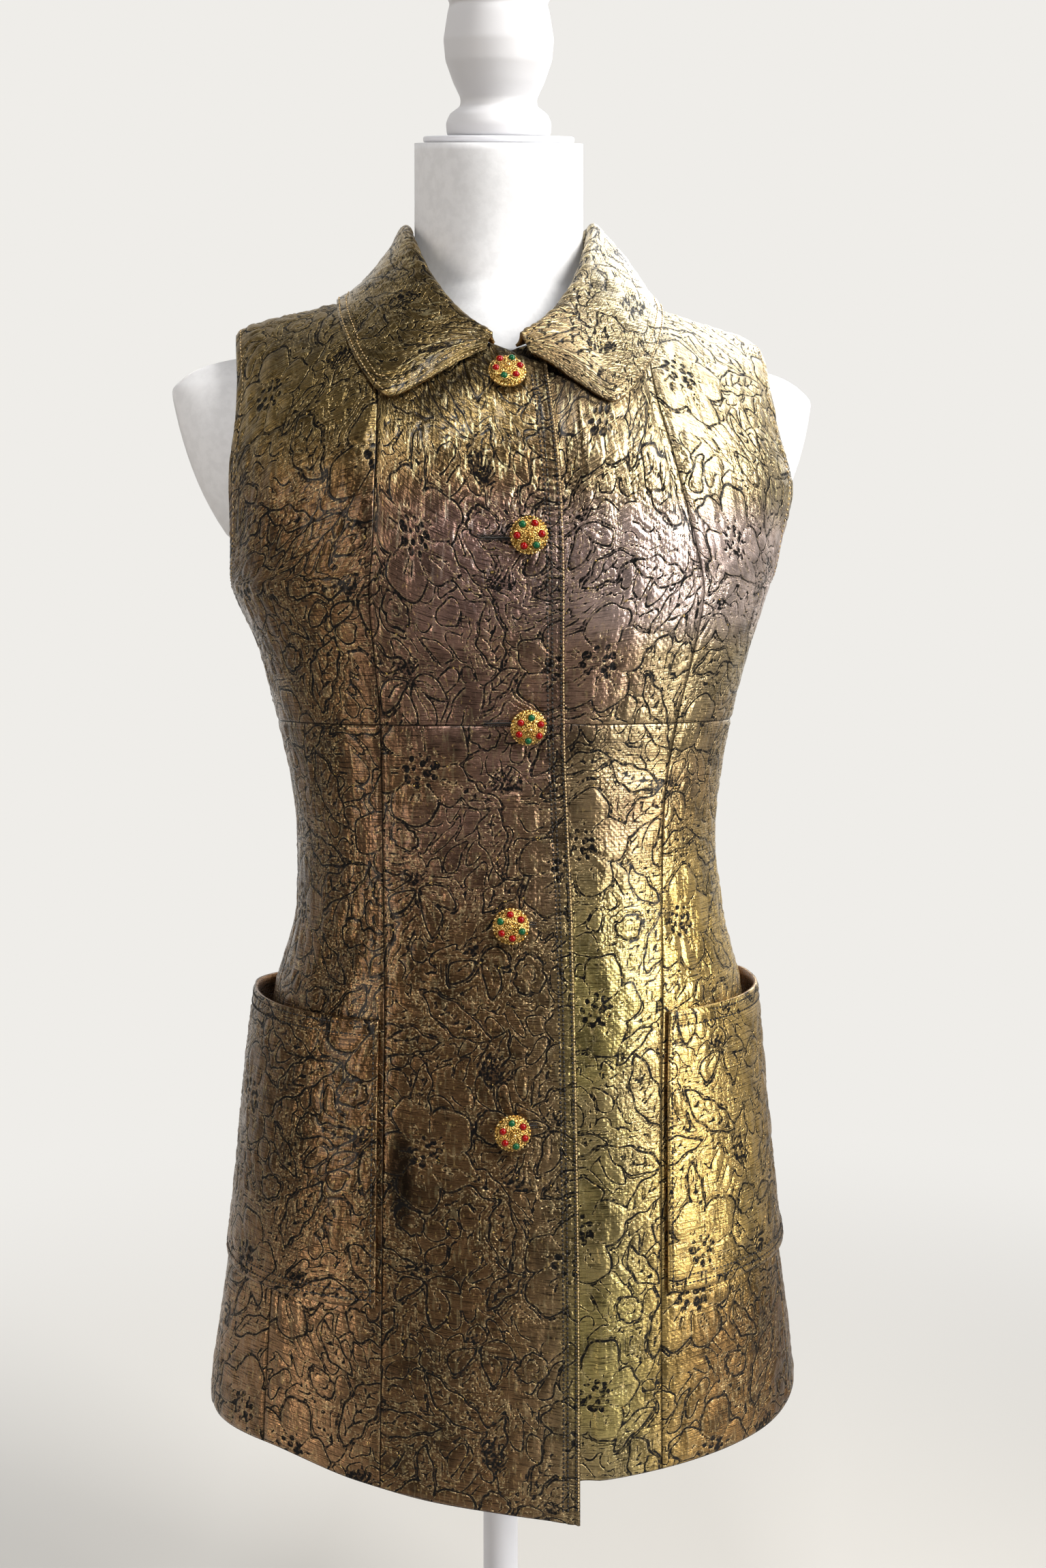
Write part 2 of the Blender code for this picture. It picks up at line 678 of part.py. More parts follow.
def pocket_gape(side, share_along, share_up):
    """How far a pocket stands away: shut at both ends and the bottom, widest at the side."""
    opening = ease(share_along / 0.62) * (1 - ease((share_along - 0.72) / 0.28))
    return POCKET_GAPE["left" if side < 0 else "right"] * opening * share_up**1.5


def make_pocket(name, side, material):
    """A patch on the skirt from the princess seam round past the side."""
    inner_edge, back_edge = princess(side), math.radians(side * POCKET_BACK_ANGLE)
    lap_in = math.radians(side * 1.2)
    front = lambda z: inner_edge(z) + lap_in
    back = lambda z: np.full(np.shape(z), back_edge)
    start, end = (front, back) if side > 0 else (back, front)
    rows, columns = 12, 14
    spare = panel_grid(start, end, lambda a, z: np.full(np.shape(a), POCKET_BOTTOM_Z),
                       lambda a, z: np.full(np.shape(a), POCKET_TOP_Z), rows, columns)
    out = grid_directions(spare)
    grid = spare[:, 1:-1]
    share_along = np.linspace(0, 1, columns + 1)[None, :]
    if side < 0:
        share_along = 1 - share_along
    share_up = np.linspace(0, 1, rows + 1)[:, None]
    along, up = cloth_places(grid)
    raised = PUFF * motif_height(along + 0.03, up + 0.07 * side)
    raised[[0, -1]] = 0.0
    raised[:, [0, -1]] = 0.0
    lifted = POCKET_CLEAR + pocket_gape(side, share_along, share_up)
    inner = grid + out * lifted[..., None]
    outer = grid + out * (lifted + POCKET_WALL + raised)[..., None]
    return wall_object(name, outer, inner, 1, material)


def surface_frame(x, z, side):
    """A point of the garment's face, straight on the shoulder line for a ridge row."""
    if side == "ridge":
        out = np.array([RIDGE_FALL, 0.0, 1.0])
        return np.array([x, 0.0, ridge_height(x)]), out / np.linalg.norm(out)
    return garment_frame(angle_at(np.array(x), np.array(z), side == "front"), np.array(z))


def collar_sections(rows, drop):
    """For each row of a half collar, the middle line of its folded sheet on the +X side."""
    sections = []
    for row in rows:
        sewn_x, sewn_z, roll_x, roll_y, roll_z, edge_x, edge_z, swell, side = row
        sewn, sewn_out = surface_frame(sewn_x, sewn_z, side)
        edge, edge_out = surface_frame(edge_x, edge_z, side)
        roll = np.array([roll_x, roll_y, roll_z])
        away = np.array([roll_x, roll_y, 0.0])
        away /= np.linalg.norm(away)
        away[2] = 0.25
        climb = (roll - sewn) / np.linalg.norm(roll - sewn)
        inside = WALL / 2
        if side == "front":
            inside += drop * (1 - ease(sewn_x / 0.045))
        foot = sewn - inside * sewn_out + COLLAR_FOOT_GAP * climb
        roll_in = roll - COLLAR_FOLD * away
        halfway = (foot + roll_in) / 2
        roll_top = roll + np.array([0.0, 0.0, 0.0018])
        roll_out = roll + COLLAR_FOLD * away
        hem_point = edge + (COLLAR_CLEAR + COLLAR_WALL / 2) * edge_out
        bend = (roll_out + hem_point) / 2 + swell * (away + edge_out)
        fall = []
        for t in (0.2, 0.4, 0.6, 0.8, 1.0):
            fall.append((1 - t) ** 2 * roll_out + 2 * t * (1 - t) * bend + t * t * hem_point)
        sections.append([foot, halfway, roll_in, roll_top, roll_out] + fall)
    return np.array(sections)


def spread_stations(sections, count):
    """More stations between the rows of the table; the pointed edge keeps its corner."""
    rows = np.arange(len(sections), dtype=float)
    stations = np.linspace(0, len(sections) - 1, count)
    stations[np.argmin(np.abs(stations - 3))] = 3.0
    out = np.empty((count, sections.shape[1], 3))
    for j in range(sections.shape[1]):
        for k in range(3):
            out[:, j, k] = smooth(stations, rows, sections[:, j, k])
    return out


def garment_samples():
    """Points of the garment's upper face with their outward directions."""
    points, outs = [], []
    for front in (True, False):
        xs = np.linspace(-0.125, 0.125, 126)
        downs = np.linspace(0.02, 1.0, 60) ** 2 * 0.105
        x, down = np.meshgrid(xs, downs)
        x = x + 1e-5
        z = ridge_height(x) - down
        here, out = garment_frame(angle_at(x, z, front), z)
        points.append(here.reshape(-1, 3))
        outs.append(out.reshape(-1, 3))
    return np.concatenate(points), np.concatenate(outs)


def lift_over(sheet, first, need):
    """Move the falling part of the collar out until it lies outside the cloth below it."""
    points, outs = garment_samples()
    for _ in range(3):
        for i in range(sheet.shape[0]):
            for j in range(first, sheet.shape[1]):
                here = sheet[i, j]
                nearest = np.argmin(np.sum((points - here) ** 2, axis=1))
                room = np.dot(here - points[nearest], outs[nearest])
                lap = LAP_LIFT if 0 < here[0] < 0.024 and here[1] < 0 else 0.0
                if room < need + lap:
                    sheet[i, j] = here + (need + lap - room) * outs[nearest]
    return sheet


def upper_cloth():
    """One search tree over the faces of all panels above the waist."""
    points, faces = [], []
    for obj in bpy.data.objects:
        if obj.name.endswith("_upper"):
            first = len(points)
            points += [v.co.copy() for v in obj.data.vertices]
            faces += [[first + i for i in face.vertices] for face in obj.data.polygons]
    return BVHTree.FromPolygons(points, faces)


def keep_clear(sheet, cloth, need):
    """Move a sheet's squares away from cloth that is nearer than it should be."""
    places = ((0.0, 0.0), (0.5, 0.0), (0.0, 0.5), (0.5, 0.5))
    for _ in range(6):
        for u, v in places:
            corners = [(a, b) for a in range(1 + (u > 0)) for b in range(1 + (v > 0))]
            for i in range(sheet.shape[0] - (u > 0)):
                for j in range(sheet.shape[1] - (v > 0)):
                    used = [(i + a, j + b) for a, b in corners]
                    here = Vector(np.mean([sheet[k] for k in used], axis=0))
                    near, normal, _, distance = cloth.find_nearest(here)
                    if 0.0001 < distance < need and (here - near).dot(normal) > 0:
                        move = (here - near) * (need / distance - 1)
                        for k in used:
                            sheet[k] += np.array(move)
    return sheet


def make_collar(material):
    """One sheet: from the neckline's edge up over the roll and down to the pointed edge."""
    lapping = spread_stations(collar_sections(COLLAR_LAPPING, 0.0), COLLAR_STATIONS)
    under = spread_stations(collar_sections(COLLAR_UNDER, UNDER_DROP), COLLAR_STATIONS)
    sheet = np.concatenate([lapping * np.array([-1.0, 1.0, 1.0]), under[::-1][1:]])
    sheet[..., 0] += collar_shift(sheet[..., 1])
    need = COLLAR_CLEAR + COLLAR_WALL / 2
    sheet = keep_clear(lift_over(sheet, 5, need), upper_cloth(), need)
    return sheet_object("collar", np.transpose(sheet, (1, 0, 2)), COLLAR_WALL, material)


def sheet_object(name, grid, thickness, material):
    """A closed wall of even thickness about a middle surface given as a grid."""
    along = np.gradient(grid, axis=1)
    up = np.gradient(grid, axis=0)
    out = np.cross(along, up)
    out /= np.linalg.norm(out, axis=-1, keepdims=True)
    return wall_object(name, grid + out * thickness / 2, grid - out * thickness / 2, 1, material)


def turned_object(name, profile, segments, material):
    """A profile of radius and height pairs, top first, turned about the Z axis."""
    mesh = bpy.data.meshes.new(name)
    points = [(radius, 0.0, height) for radius, height in profile]
    mesh.from_pydata(points, [(i, i + 1) for i in range(len(points) - 1)], [])
    obj = place(name, mesh, material)
    turn = obj.modifiers.new("turn", "SCREW")
    turn.axis = "Z"
    turn.steps = segments
    turn.render_steps = segments
    turn.use_merge_vertices = True
    turn.merge_threshold = 0.00005
    turn.use_smooth_shade = True
    return obj


def button_profile():
    """A shank, a beaded rim and a dome with a small raised centre."""
    dome = []
    for degrees in (90, 66, 44, 24):
        a = math.radians(degrees)
        dome.append((0.0098 * math.cos(a), SHANK_LENGTH + 0.0012 + 0.0056 * math.sin(a)))
    dome[0] = (0.0, dome[0][1] + 0.0008)
    rim = [
        (BUTTON_RADIUS, SHANK_LENGTH + 0.0018),
        (BUTTON_RADIUS - 0.0002, SHANK_LENGTH + 0.0006),
        (BUTTON_RADIUS - 0.0014, SHANK_LENGTH),
    ]
    shank = [(SHANK_RADIUS, SHANK_LENGTH), (SHANK_RADIUS, 0.0), (0.0, 0.0)]
    return dome + rim + shank


def make_buttons(material):
    for number, (x, z, lean_side, lean_up) in enumerate(BUTTONS, start=1):
        here, out = garment_frame(angle_at(np.array(x), np.array(z)), np.array(z))
        out = Vector(out)
        side = Vector((0, 0, 1)).cross(out).normalized()
        up = out.cross(side)
        face = (out + side * math.tan(math.radians(lean_side)) + up * math.tan(math.radians(lean_up)))
        button = turned_object(f"button_{number}", button_profile(), 16, material)
        foot = Vector(here) + out * (BUTTON_CLEAR + SHANK_RADIUS * math.sin(math.radians(BUTTON_TILT)))
        turn = face.to_track_quat("Z", "Y").to_matrix().to_4x4()
        button.matrix_world = Matrix.Translation(foot) @ turn


def form_ridge(x):
    """The form's own shoulder line: it carries the cloth at one place on each side."""
    past = np.maximum(np.abs(x) - SEAT_X, 0.0)
    before = np.maximum(SEAT_X - np.abs(x), 0.0)
    straight = RIDGE_AT_CENTRE_Z - RIDGE_FALL * np.abs(x)
    return straight - WALL - SEAT_GAP - SEAT_FALL_OUT * past**2 - SEAT_FALL_IN * before**2


def neck_middle(z):
    """The neck leans forward above the shoulders."""
    lean = NECK_LEAN * max(z - NECK_LEAN_FROM_Z, 0.0)
    towards = math.radians(LEAN_TOWARDS)
    return lean * math.sin(towards), -lean * math.cos(towards)


def last_inside(inside_measure, reach):
    """Along each ray, the farthest place where a shape's measure is still below 1."""
    inside = inside_measure < 1.0
    last = inside.shape[1] - 1 - np.argmax(inside[:, ::-1], axis=1)
    found = inside.any(axis=1)
    last = np.minimum(last, inside.shape[1] - 2)
    here = inside_measure[np.arange(len(last)), last]
    beyond = inside_measure[np.arange(len(last)), last + 1]
    share = np.clip((1 - here) / np.maximum(beyond - here, 1e-9), 0, 1)
    return np.where(found, reach[last] + share * (reach[1] - reach[0]), 0.0)


def form_ring(z, angles):
    """Radius of the torso form at a height: torso, shoulder caps and neck in one."""
    reach = np.linspace(0, 0.22, 441)
    x = np.sin(angles)[:, None] * reach
    y = -np.cos(angles)[:, None] * reach
    half = read(FORM_SECTIONS, FORM_COLUMNS, "half", z)
    front = read(FORM_SECTIONS, FORM_COLUMNS, "front", z)
    back = read(FORM_SECTIONS, FORM_COLUMNS, "back", z)
    ridge = form_ridge(x)
    depth = np.where(y < 0, front, back) * roll_over(x, z, ridge)
    torso = np.abs(x / half) ** FORM_SQUARE + np.abs(y / np.maximum(depth, 1e-6)) ** FORM_SQUARE
    radii = [last_inside(np.where(ridge > z, torso, 9.0), reach)]
    if CAP_SECTIONS[0][0] < z < CAP_SECTIONS[-1][0]:
        cap_reach = read(CAP_SECTIONS, CAP_COLUMNS, "reach", z)
        cap_depth = read(CAP_SECTIONS, CAP_COLUMNS, "depth", z)
        cap = (np.abs(x) / cap_reach) ** CAP_POWER + (y / cap_depth) ** 2
        radii.append(last_inside(cap, reach))
    if z > NECK_SECTIONS[0][0]:
        neck_half = read(NECK_SECTIONS, NECK_COLUMNS, "half", z)
        neck_front = read(NECK_SECTIONS, NECK_COLUMNS, "front", z)
        neck_back = read(NECK_SECTIONS, NECK_COLUMNS, "back", z)
        middle_x, middle_y = neck_middle(z)
        neck_depth = np.where(y < middle_y, neck_front, neck_back)
        neck = ((x - middle_x) / neck_half) ** 2 + ((y - middle_y) / neck_depth) ** 2
        radii.append(last_inside(neck, reach))
    return sum(r**FORM_BLEND for r in radii) ** (1 / FORM_BLEND)


def form_heights():
    """Heights of the form's rings, closest together over the shoulders."""
    foot = FORM_BOTTOM_Z + FORM_FOOT * (1 - np.cos(np.radians((0, 30, 52, 72))))
    body = np.array((0.445, 0.490, 0.535, 0.580, 0.615, 0.650, 0.685, 0.720, 0.755, 0.785,
                     0.812, 0.830, 0.848, 0.870, 0.892, 0.905))
    shoulder = np.array((0.9160, 0.9240, 0.9310, 0.9355, 0.9379, 0.9420, 0.9490, 0.9550, 0.9600,
                         0.9640, 0.9665, 0.9685, 0.9705, 0.9740))
    neck = np.array((0.980, 0.992, 1.010, 1.035, FORM_TOP_Z))
    return np.concatenate([foot, body, shoulder, neck])


def make_form(material):
    """The torso form as a stack of rings, closed below and closed by the leaning neck top."""
    quarter = np.array(FORM_QUARTER)
    half_turn = np.concatenate([quarter, 180 - np.append(quarter[1:], 90)[::-1]])
    angles = np.radians(np.concatenate([half_turn, 180 + half_turn]))
    segments = len(angles)
    lean = math.tan(math.radians(PLATE_LEAN))
    towards = math.radians(LEAN_TOWARDS)
    mesh = bmesh.new()
    rings = []
    for z in form_heights():
        radius = form_ring(z, angles)
        below = max(FORM_BOTTOM_Z + FORM_FOOT - z, 0.0) / FORM_FOOT
        radius = radius * (0.55 + 0.45 * math.sqrt(1 - below**2))
        tilt = lean * float(ease((z - 0.995) / (FORM_TOP_Z - 0.995)))
        middle = Vector(neck_middle(z))
        ring = []
        for a, r in zip(angles, radius):
            x, y = r * math.sin(a), -r * math.cos(a)
            behind = (x - middle.x) * -math.sin(towards) + (y - middle.y) * math.cos(towards)
            ring.append(mesh.verts.new((x, y, z + tilt * behind)))
        rings.append(ring)
    for low, high in zip(rings, rings[1:]):
        for i in range(segments):
            j = (i + 1) % segments
            mesh.faces.new((low[i], low[j], high[j], high[i]))
    mesh.faces.new(list(reversed(rings[0])))
    mesh.faces.new(rings[-1])
    data = bpy.data.meshes.new("form_torso")
    mesh.to_mesh(data)
    mesh.free()
    data.shade_smooth()
    return place("form_torso", data, material)


def neck_frame(height):
    """A place on the leaning axis through the neck's top, and the turn that goes with it."""
    middle_x, middle_y = neck_middle(FORM_TOP_Z)
    turn = Matrix.Rotation(math.radians(LEAN_TOWARDS), 4, "Z")
    turn = turn @ Matrix.Rotation(math.radians(PLATE_LEAN), 4, "X")
    lift = Matrix.Translation((0.0, 0.0, height))
    return Matrix.Translation((middle_x, middle_y, FORM_TOP_Z)) @ turn @ lift


def make_stand(metal, wood):
    """Neck plate, finial, pole and round base, each just clear of the next."""
    inset = PLATE_RADIUS - PLATE_BEVEL
    plate_profile = ((0.0, PLATE_THICKNESS), (inset, PLATE_THICKNESS),
                     (PLATE_RADIUS, PLATE_THICKNESS - PLATE_BEVEL), (PLATE_RADIUS, PLATE_BEVEL),
                     (inset, 0.0), (0.0, 0.0))
    plate = turned_object("neck_plate", plate_profile, 32, metal)
    plate.matrix_world = neck_frame(PART_GAP)
    finial = turned_object("finial", FINIAL_PROFILE, 22, wood)
    finial.matrix_world = neck_frame(2 * PART_GAP + PLATE_THICKNESS)
    hub_top = BASE_PROFILE[0][1] + PART_GAP
    pole_top = FORM_BOTTOM_Z - PART_GAP
    pole_profile = ((0.0, pole_top), (POLE_RADIUS, pole_top), (POLE_RADIUS, hub_top), (0.0, hub_top))
    turned_object("pole", pole_profile, 24, metal)
    turned_object("base", BASE_PROFILE, 36, metal)


def make_material(name, colour, roughness, metallic):
    material = bpy.data.materials.new(name)
    material.use_nodes = True
    shader = material.node_tree.nodes["Principled BSDF"]
    shader.inputs["Base Color"].default_value = (*colour, 1.0)
    shader.inputs["Roughness"].default_value = roughness
    shader.inputs["Metallic"].default_value = metallic
    return material


def clear_scene():
    for obj in list(bpy.data.objects):
        bpy.data.objects.remove(obj, do_unlink=True)
    group = bpy.data.collections.new(COLLECTION)
    bpy.context.scene.collection.children.link(group)


def main():
    clear_scene()
    brocade = make_material("brocade", (0.33, 0.24, 0.10), 0.45, 0.6)
    brass = make_material("gilt_metal", (0.70, 0.48, 0.16), 0.35, 1.0)
    jersey = make_material("white_jersey", (0.86, 0.86, 0.84), 0.85, 0.0)
    enamel = make_material("white_enamel", (0.88, 0.88, 0.86), 0.40, 0.0)
    wood = make_material("white_painted_wood", (0.87, 0.87, 0.85), 0.50, 0.0)
    make_panels(brocade)
    make_pocket("right_pocket", -1, brocade)
    make_pocket("left_pocket", 1, brocade)
    make_collar(brocade)
    make_buttons(brass)
    make_form(jersey)
    make_stand(enamel, wood)


main()
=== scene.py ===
# %% [markdown]
# A brocade sleeveless top on a dress form. The top is cut from a metallic matelasse cloth: two
# layers woven together along stitched outlines of flowers and leaves, with soft puffs between
# them. The shapes below follow the same sizes as the solids, and add what the eye needs: puffs,
# outlines, creases, sewing, jewelled buttons and the finishes. Everything is in metres.

# %% start
import json
import math
from functools import partial, reduce
import bpy
import numpy as np
from mathutils import Matrix, Vector
from mathutils.bvhtree import BVHTree

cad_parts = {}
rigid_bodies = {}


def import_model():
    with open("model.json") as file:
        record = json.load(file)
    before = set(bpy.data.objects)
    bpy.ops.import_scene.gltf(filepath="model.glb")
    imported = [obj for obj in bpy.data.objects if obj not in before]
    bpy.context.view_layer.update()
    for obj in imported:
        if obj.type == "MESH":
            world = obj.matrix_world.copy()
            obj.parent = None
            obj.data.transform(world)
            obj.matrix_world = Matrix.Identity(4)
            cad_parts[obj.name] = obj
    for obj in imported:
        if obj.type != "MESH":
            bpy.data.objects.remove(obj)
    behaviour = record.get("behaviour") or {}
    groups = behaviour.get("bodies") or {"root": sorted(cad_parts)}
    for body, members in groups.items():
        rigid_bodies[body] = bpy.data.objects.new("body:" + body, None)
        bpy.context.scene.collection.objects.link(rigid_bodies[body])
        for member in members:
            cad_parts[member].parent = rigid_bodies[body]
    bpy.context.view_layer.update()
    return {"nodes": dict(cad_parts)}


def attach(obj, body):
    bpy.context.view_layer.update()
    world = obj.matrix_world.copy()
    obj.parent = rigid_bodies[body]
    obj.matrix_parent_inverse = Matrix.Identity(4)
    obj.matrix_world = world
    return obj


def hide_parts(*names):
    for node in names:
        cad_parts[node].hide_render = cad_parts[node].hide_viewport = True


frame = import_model()
solids = frame["nodes"]

# %% [markdown]
# The garment is a hollow shell round a body, so one rule gives every point of its face: a height
# and an angle round the pole. The half widths and depths of the body's sections are in a table,
# and the depth shrinks to nothing at the shoulder line, where front meets back. Every panel is
# then a patch of this face between two seams, and neighbours always meet.

# %% sizes of the garment

# Driving sizes of the garment
WALL = 0.0016
WAIST_Z = 0.7225
POCKET_BOTTOM_Z = 0.395
POCKET_TOP_Z = 0.556
NECK_HALF_WIDTH = 0.072

# The shoulder line falls from the neck to the tip, where it rounds over
RIDGE_AT_CENTRE_Z = 0.9945
RIDGE_FALL = 0.25
TIP_START = 0.145
TIP_ROUNDING = 20.0
SHOULDER_ROLL = 0.11

# The wearer's right front laps over the left one, which drops under it
UNDER_DROP = 0.0032
UNDER_BLEND = 0.014
LAP_LIFT = 0.0012
LAP_LIFT_WIDTH = 0.020

# Pockets lie on the skirt and stand away from it at the mouth
POCKET_CLEAR = 0.0011
POCKET_WALL = 0.0018
POCKET_GAPE = {"left": 0.0100, "right": 0.0085}
POCKET_BACK_ANGLE = 112.0

# The collar is one folded sheet
COLLAR_WALL = 0.0016
COLLAR_CLEAR = 0.0007
COLLAR_SHIFT = -0.0060
COLLAR_FOLD = 0.0022
COLLAR_FOOT_GAP = 0.0012
COLLAR_STATIONS = 23


# %% sections, seams and edges of the cut

# Horizontal sections of the garment: half widths, depths and squareness
SECTION_COLUMNS = ("z", "left", "right", "front", "back", "square")
SECTIONS = (
    (0.255, 0.183, 0.192, 0.1225, 0.118, 2.30),
    (0.300, 0.182, 0.190, 0.1220, 0.119, 2.30),
    (0.356, 0.175, 0.184, 0.1215, 0.120, 2.30),
    (0.427, 0.164, 0.172, 0.1190, 0.120, 2.30),
    (0.500, 0.152, 0.160, 0.1130, 0.116, 2.30),
    (0.560, 0.139, 0.150, 0.1070, 0.107, 2.30),
    (0.610, 0.126, 0.138, 0.1020, 0.097, 2.30),
    (0.655, 0.125, 0.134, 0.0990, 0.091, 2.30),
    (0.690, 0.129, 0.137, 0.0995, 0.089, 2.30),
    (0.7225, 0.136, 0.143, 0.1030, 0.091, 2.30),
    (0.767, 0.147, 0.154, 0.1120, 0.098, 2.30),
    (0.802, 0.162, 0.165, 0.1210, 0.105, 2.30),
    (0.830, 0.168, 0.174, 0.1240, 0.109, 2.30),
    (0.862, 0.171, 0.183, 0.1220, 0.111, 2.30),
    (0.900, 0.168, 0.176, 0.1130, 0.110, 2.30),
    (0.950, 0.166, 0.172, 0.1030, 0.104, 2.30),
    (1.000, 0.165, 0.171, 0.0980, 0.100, 2.30),
)

# Distance of the front princess seams from the middle
PRINCESS_COLUMNS = ("z", "left", "right")
PRINCESS = (
    (0.250, 0.0810, 0.0832),
    (0.390, 0.0785, 0.0822),
    (0.500, 0.0765, 0.0832),
    (0.575, 0.0750, 0.0858),
    (0.665, 0.0752, 0.0873),
    (0.725, 0.0762, 0.0945),
    (0.755, 0.0787, 0.1010),
    (0.795, 0.0820, 0.1062),
    (0.822, 0.0800, 0.0996),
    (0.865, 0.0780, 0.0870),
    (0.914, 0.0757, 0.0775),
    (1.000, 0.0745, 0.0755),
)

# Angles of the side seams, which pass into the armholes' edges at the underarm
SIDE_COLUMNS = ("z", "left", "right")
SIDE_SEAM = (
    (0.250, 61.0, 72.0),
    (0.400, 62.0, 73.0),
    (0.560, 80.0, 82.0),
    (0.720, 86.0, 86.0),
    (0.802, 88.0, 88.0),
)
ARMHOLE_COLUMNS = ("z", "front", "back")
ARMHOLE = (
    (0.802, 88.0, 88.0),
    (0.807, 82.0, 96.0),
    (0.816, 77.5, 102.0),
    (0.830, 74.0, 106.0),
    (0.855, 72.3, 108.5),
    (0.885, 72.0, 109.0),
    (0.915, 72.8, 108.0),
    (0.940, 75.0, 105.0),
    (0.970, 77.5, 102.0),
)

# Angles of the back princess seams
BACK_COLUMNS = ("z", "angle")
BACK_SEAM = (
    (0.250, 136.0),
    (0.560, 139.0),
    (0.7225, 141.0),
    (0.830, 136.0),
    (0.900, 140.0),
    (1.000, 142.0),
)

# The lap's free edge, by its distance past the middle
LAP_COLUMNS = ("z", "edge")
LAP_EDGE = (
    (0.250, 0.0335),
    (0.450, 0.0328),
    (0.600, 0.0315),
    (0.730, 0.0262),
    (0.850, 0.0213),
    (0.930, 0.0150),
)

# The hem, by angle: the lapping front dips towards the middle
HEM_COLUMNS = ("angle", "lapping", "under")
HEM = (
    (-180.0, 0.2940, 0.2940),
    (-90.0, 0.2990, 0.2990),
    (-61.0, 0.3045, 0.3045),
    (-40.0, 0.2930, 0.2920),
    (-25.0, 0.2840, 0.2900),
    (-8.0, 0.2760, 0.2895),
    (5.0, 0.2700, 0.2890),
    (18.0, 0.2645, 0.2895),
    (60.0, 0.2600, 0.2950),
    (90.0, 0.2600, 0.3050),
    (180.0, 0.2600, 0.2940),
)

# Neckline heights, by distance from the middle on the panel's own side
NECKLINE_COLUMNS = ("x", "front", "back")
NECKLINE = (
    (-0.040, 0.9150, 0.9660),
    (-0.016, 0.9215, 0.9660),
    (0.000, 0.9290, 0.9660),
    (0.020, 0.9375, 0.9665),
    (0.040, 0.9520, 0.9685),
    (0.058, 0.9670, 0.9715),
    (0.072, 0.9765, 0.9765),
)


# %% the collar's two halves and the buttons

# Halves of the collar, from the V to the middle of the back. A row gives x and z where it is
# sewn on, x, y and z of its roll, x and z of its outer edge, how far the fall bulges, and the
# side of the shoulder line. Sewn and edge points lie on the garment.
COLLAR_LAPPING = (
    (0.0060, 0.9315, 0.0080, -0.1010, 0.9345, 0.0115, 0.9275, 0.0005, "front"),
    (0.0180, 0.9362, 0.0190, -0.0935, 0.9425, 0.0265, 0.9195, 0.0015, "front"),
    (0.0300, 0.9440, 0.0300, -0.0830, 0.9540, 0.0445, 0.9085, 0.0020, "front"),
    (0.0410, 0.9530, 0.0390, -0.0700, 0.9680, 0.0635, 0.9000, 0.0020, "front"),
    (0.0510, 0.9612, 0.0460, -0.0560, 0.9820, 0.0770, 0.9140, 0.0010, "front"),
    (0.0600, 0.9685, 0.0510, -0.0400, 0.9960, 0.0865, 0.9330, -0.0010, "front"),
    (0.0680, 0.9740, 0.0545, -0.0220, 1.0080, 0.0935, 0.9540, -0.0030, "front"),
    (0.0715, 0.9766, 0.0560, -0.0020, 1.0155, 0.0960, 0.9703, -0.0045, "ridge"),
    (0.0670, 0.9745, 0.0545, 0.0200, 1.0175, 0.0900, 0.9620, -0.0020, "back"),
    (0.0520, 0.9702, 0.0455, 0.0400, 1.0180, 0.0720, 0.9550, 0.0010, "back"),
    (0.0280, 0.9674, 0.0250, 0.0540, 1.0180, 0.0400, 0.9500, 0.0015, "back"),
    (0.0000, 0.9664, 0.0000, 0.0590, 1.0180, 0.0000, 0.9480, 0.0015, "back"),
)
COLLAR_UNDER = (
    (0.0060, 0.9315, 0.0080, -0.1010, 0.9345, 0.0130, 0.9245, 0.0005, "front"),
    (0.0180, 0.9362, 0.0190, -0.0935, 0.9425, 0.0260, 0.9170, 0.0015, "front"),
    (0.0300, 0.9440, 0.0300, -0.0830, 0.9540, 0.0410, 0.9070, 0.0020, "front"),
    (0.0410, 0.9530, 0.0390, -0.0700, 0.9680, 0.0570, 0.8985, 0.0020, "front"),
    (0.0510, 0.9612, 0.0460, -0.0560, 0.9830, 0.0750, 0.9140, 0.0025, "front"),
    (0.0600, 0.9685, 0.0510, -0.0400, 0.9980, 0.0865, 0.9330, 0.0025, "front"),
    (0.0680, 0.9740, 0.0550, -0.0220, 1.0110, 0.0935, 0.9540, 0.0025, "front"),
    (0.0715, 0.9766, 0.0570, -0.0020, 1.0200, 0.0960, 0.9703, 0.0025, "ridge"),
    (0.0670, 0.9745, 0.0555, 0.0200, 1.0205, 0.0900, 0.9620, 0.0015, "back"),
    (0.0520, 0.9702, 0.0460, 0.0400, 1.0195, 0.0720, 0.9550, 0.0015, "back"),
    (0.0280, 0.9674, 0.0250, 0.0540, 1.0185, 0.0400, 0.9500, 0.0015, "back"),
    (0.0000, 0.9664, 0.0000, 0.0590, 1.0180, 0.0000, 0.9480, 0.0015, "back"),
)

# Buttons, top to bottom: x and z on the lap, and a small lean to the side and upwards
BUTTONS = (
    (-0.0065, 0.9120, 4.0, 5.0),
    (0.0035, 0.8255, -5.0, 3.0),
    (0.0050, 0.7225, 5.0, -5.0),
    (-0.0040, 0.6095, -4.0, 4.0),
    (-0.0050, 0.4950, 5.0, -3.0),
)
SHANK_LENGTH = 0.0024
SHANK_RADIUS = 0.0028
BUTTON_CLEAR = 0.0004
BUTTON_TILT = 6.0


# %% reading a table smoothly

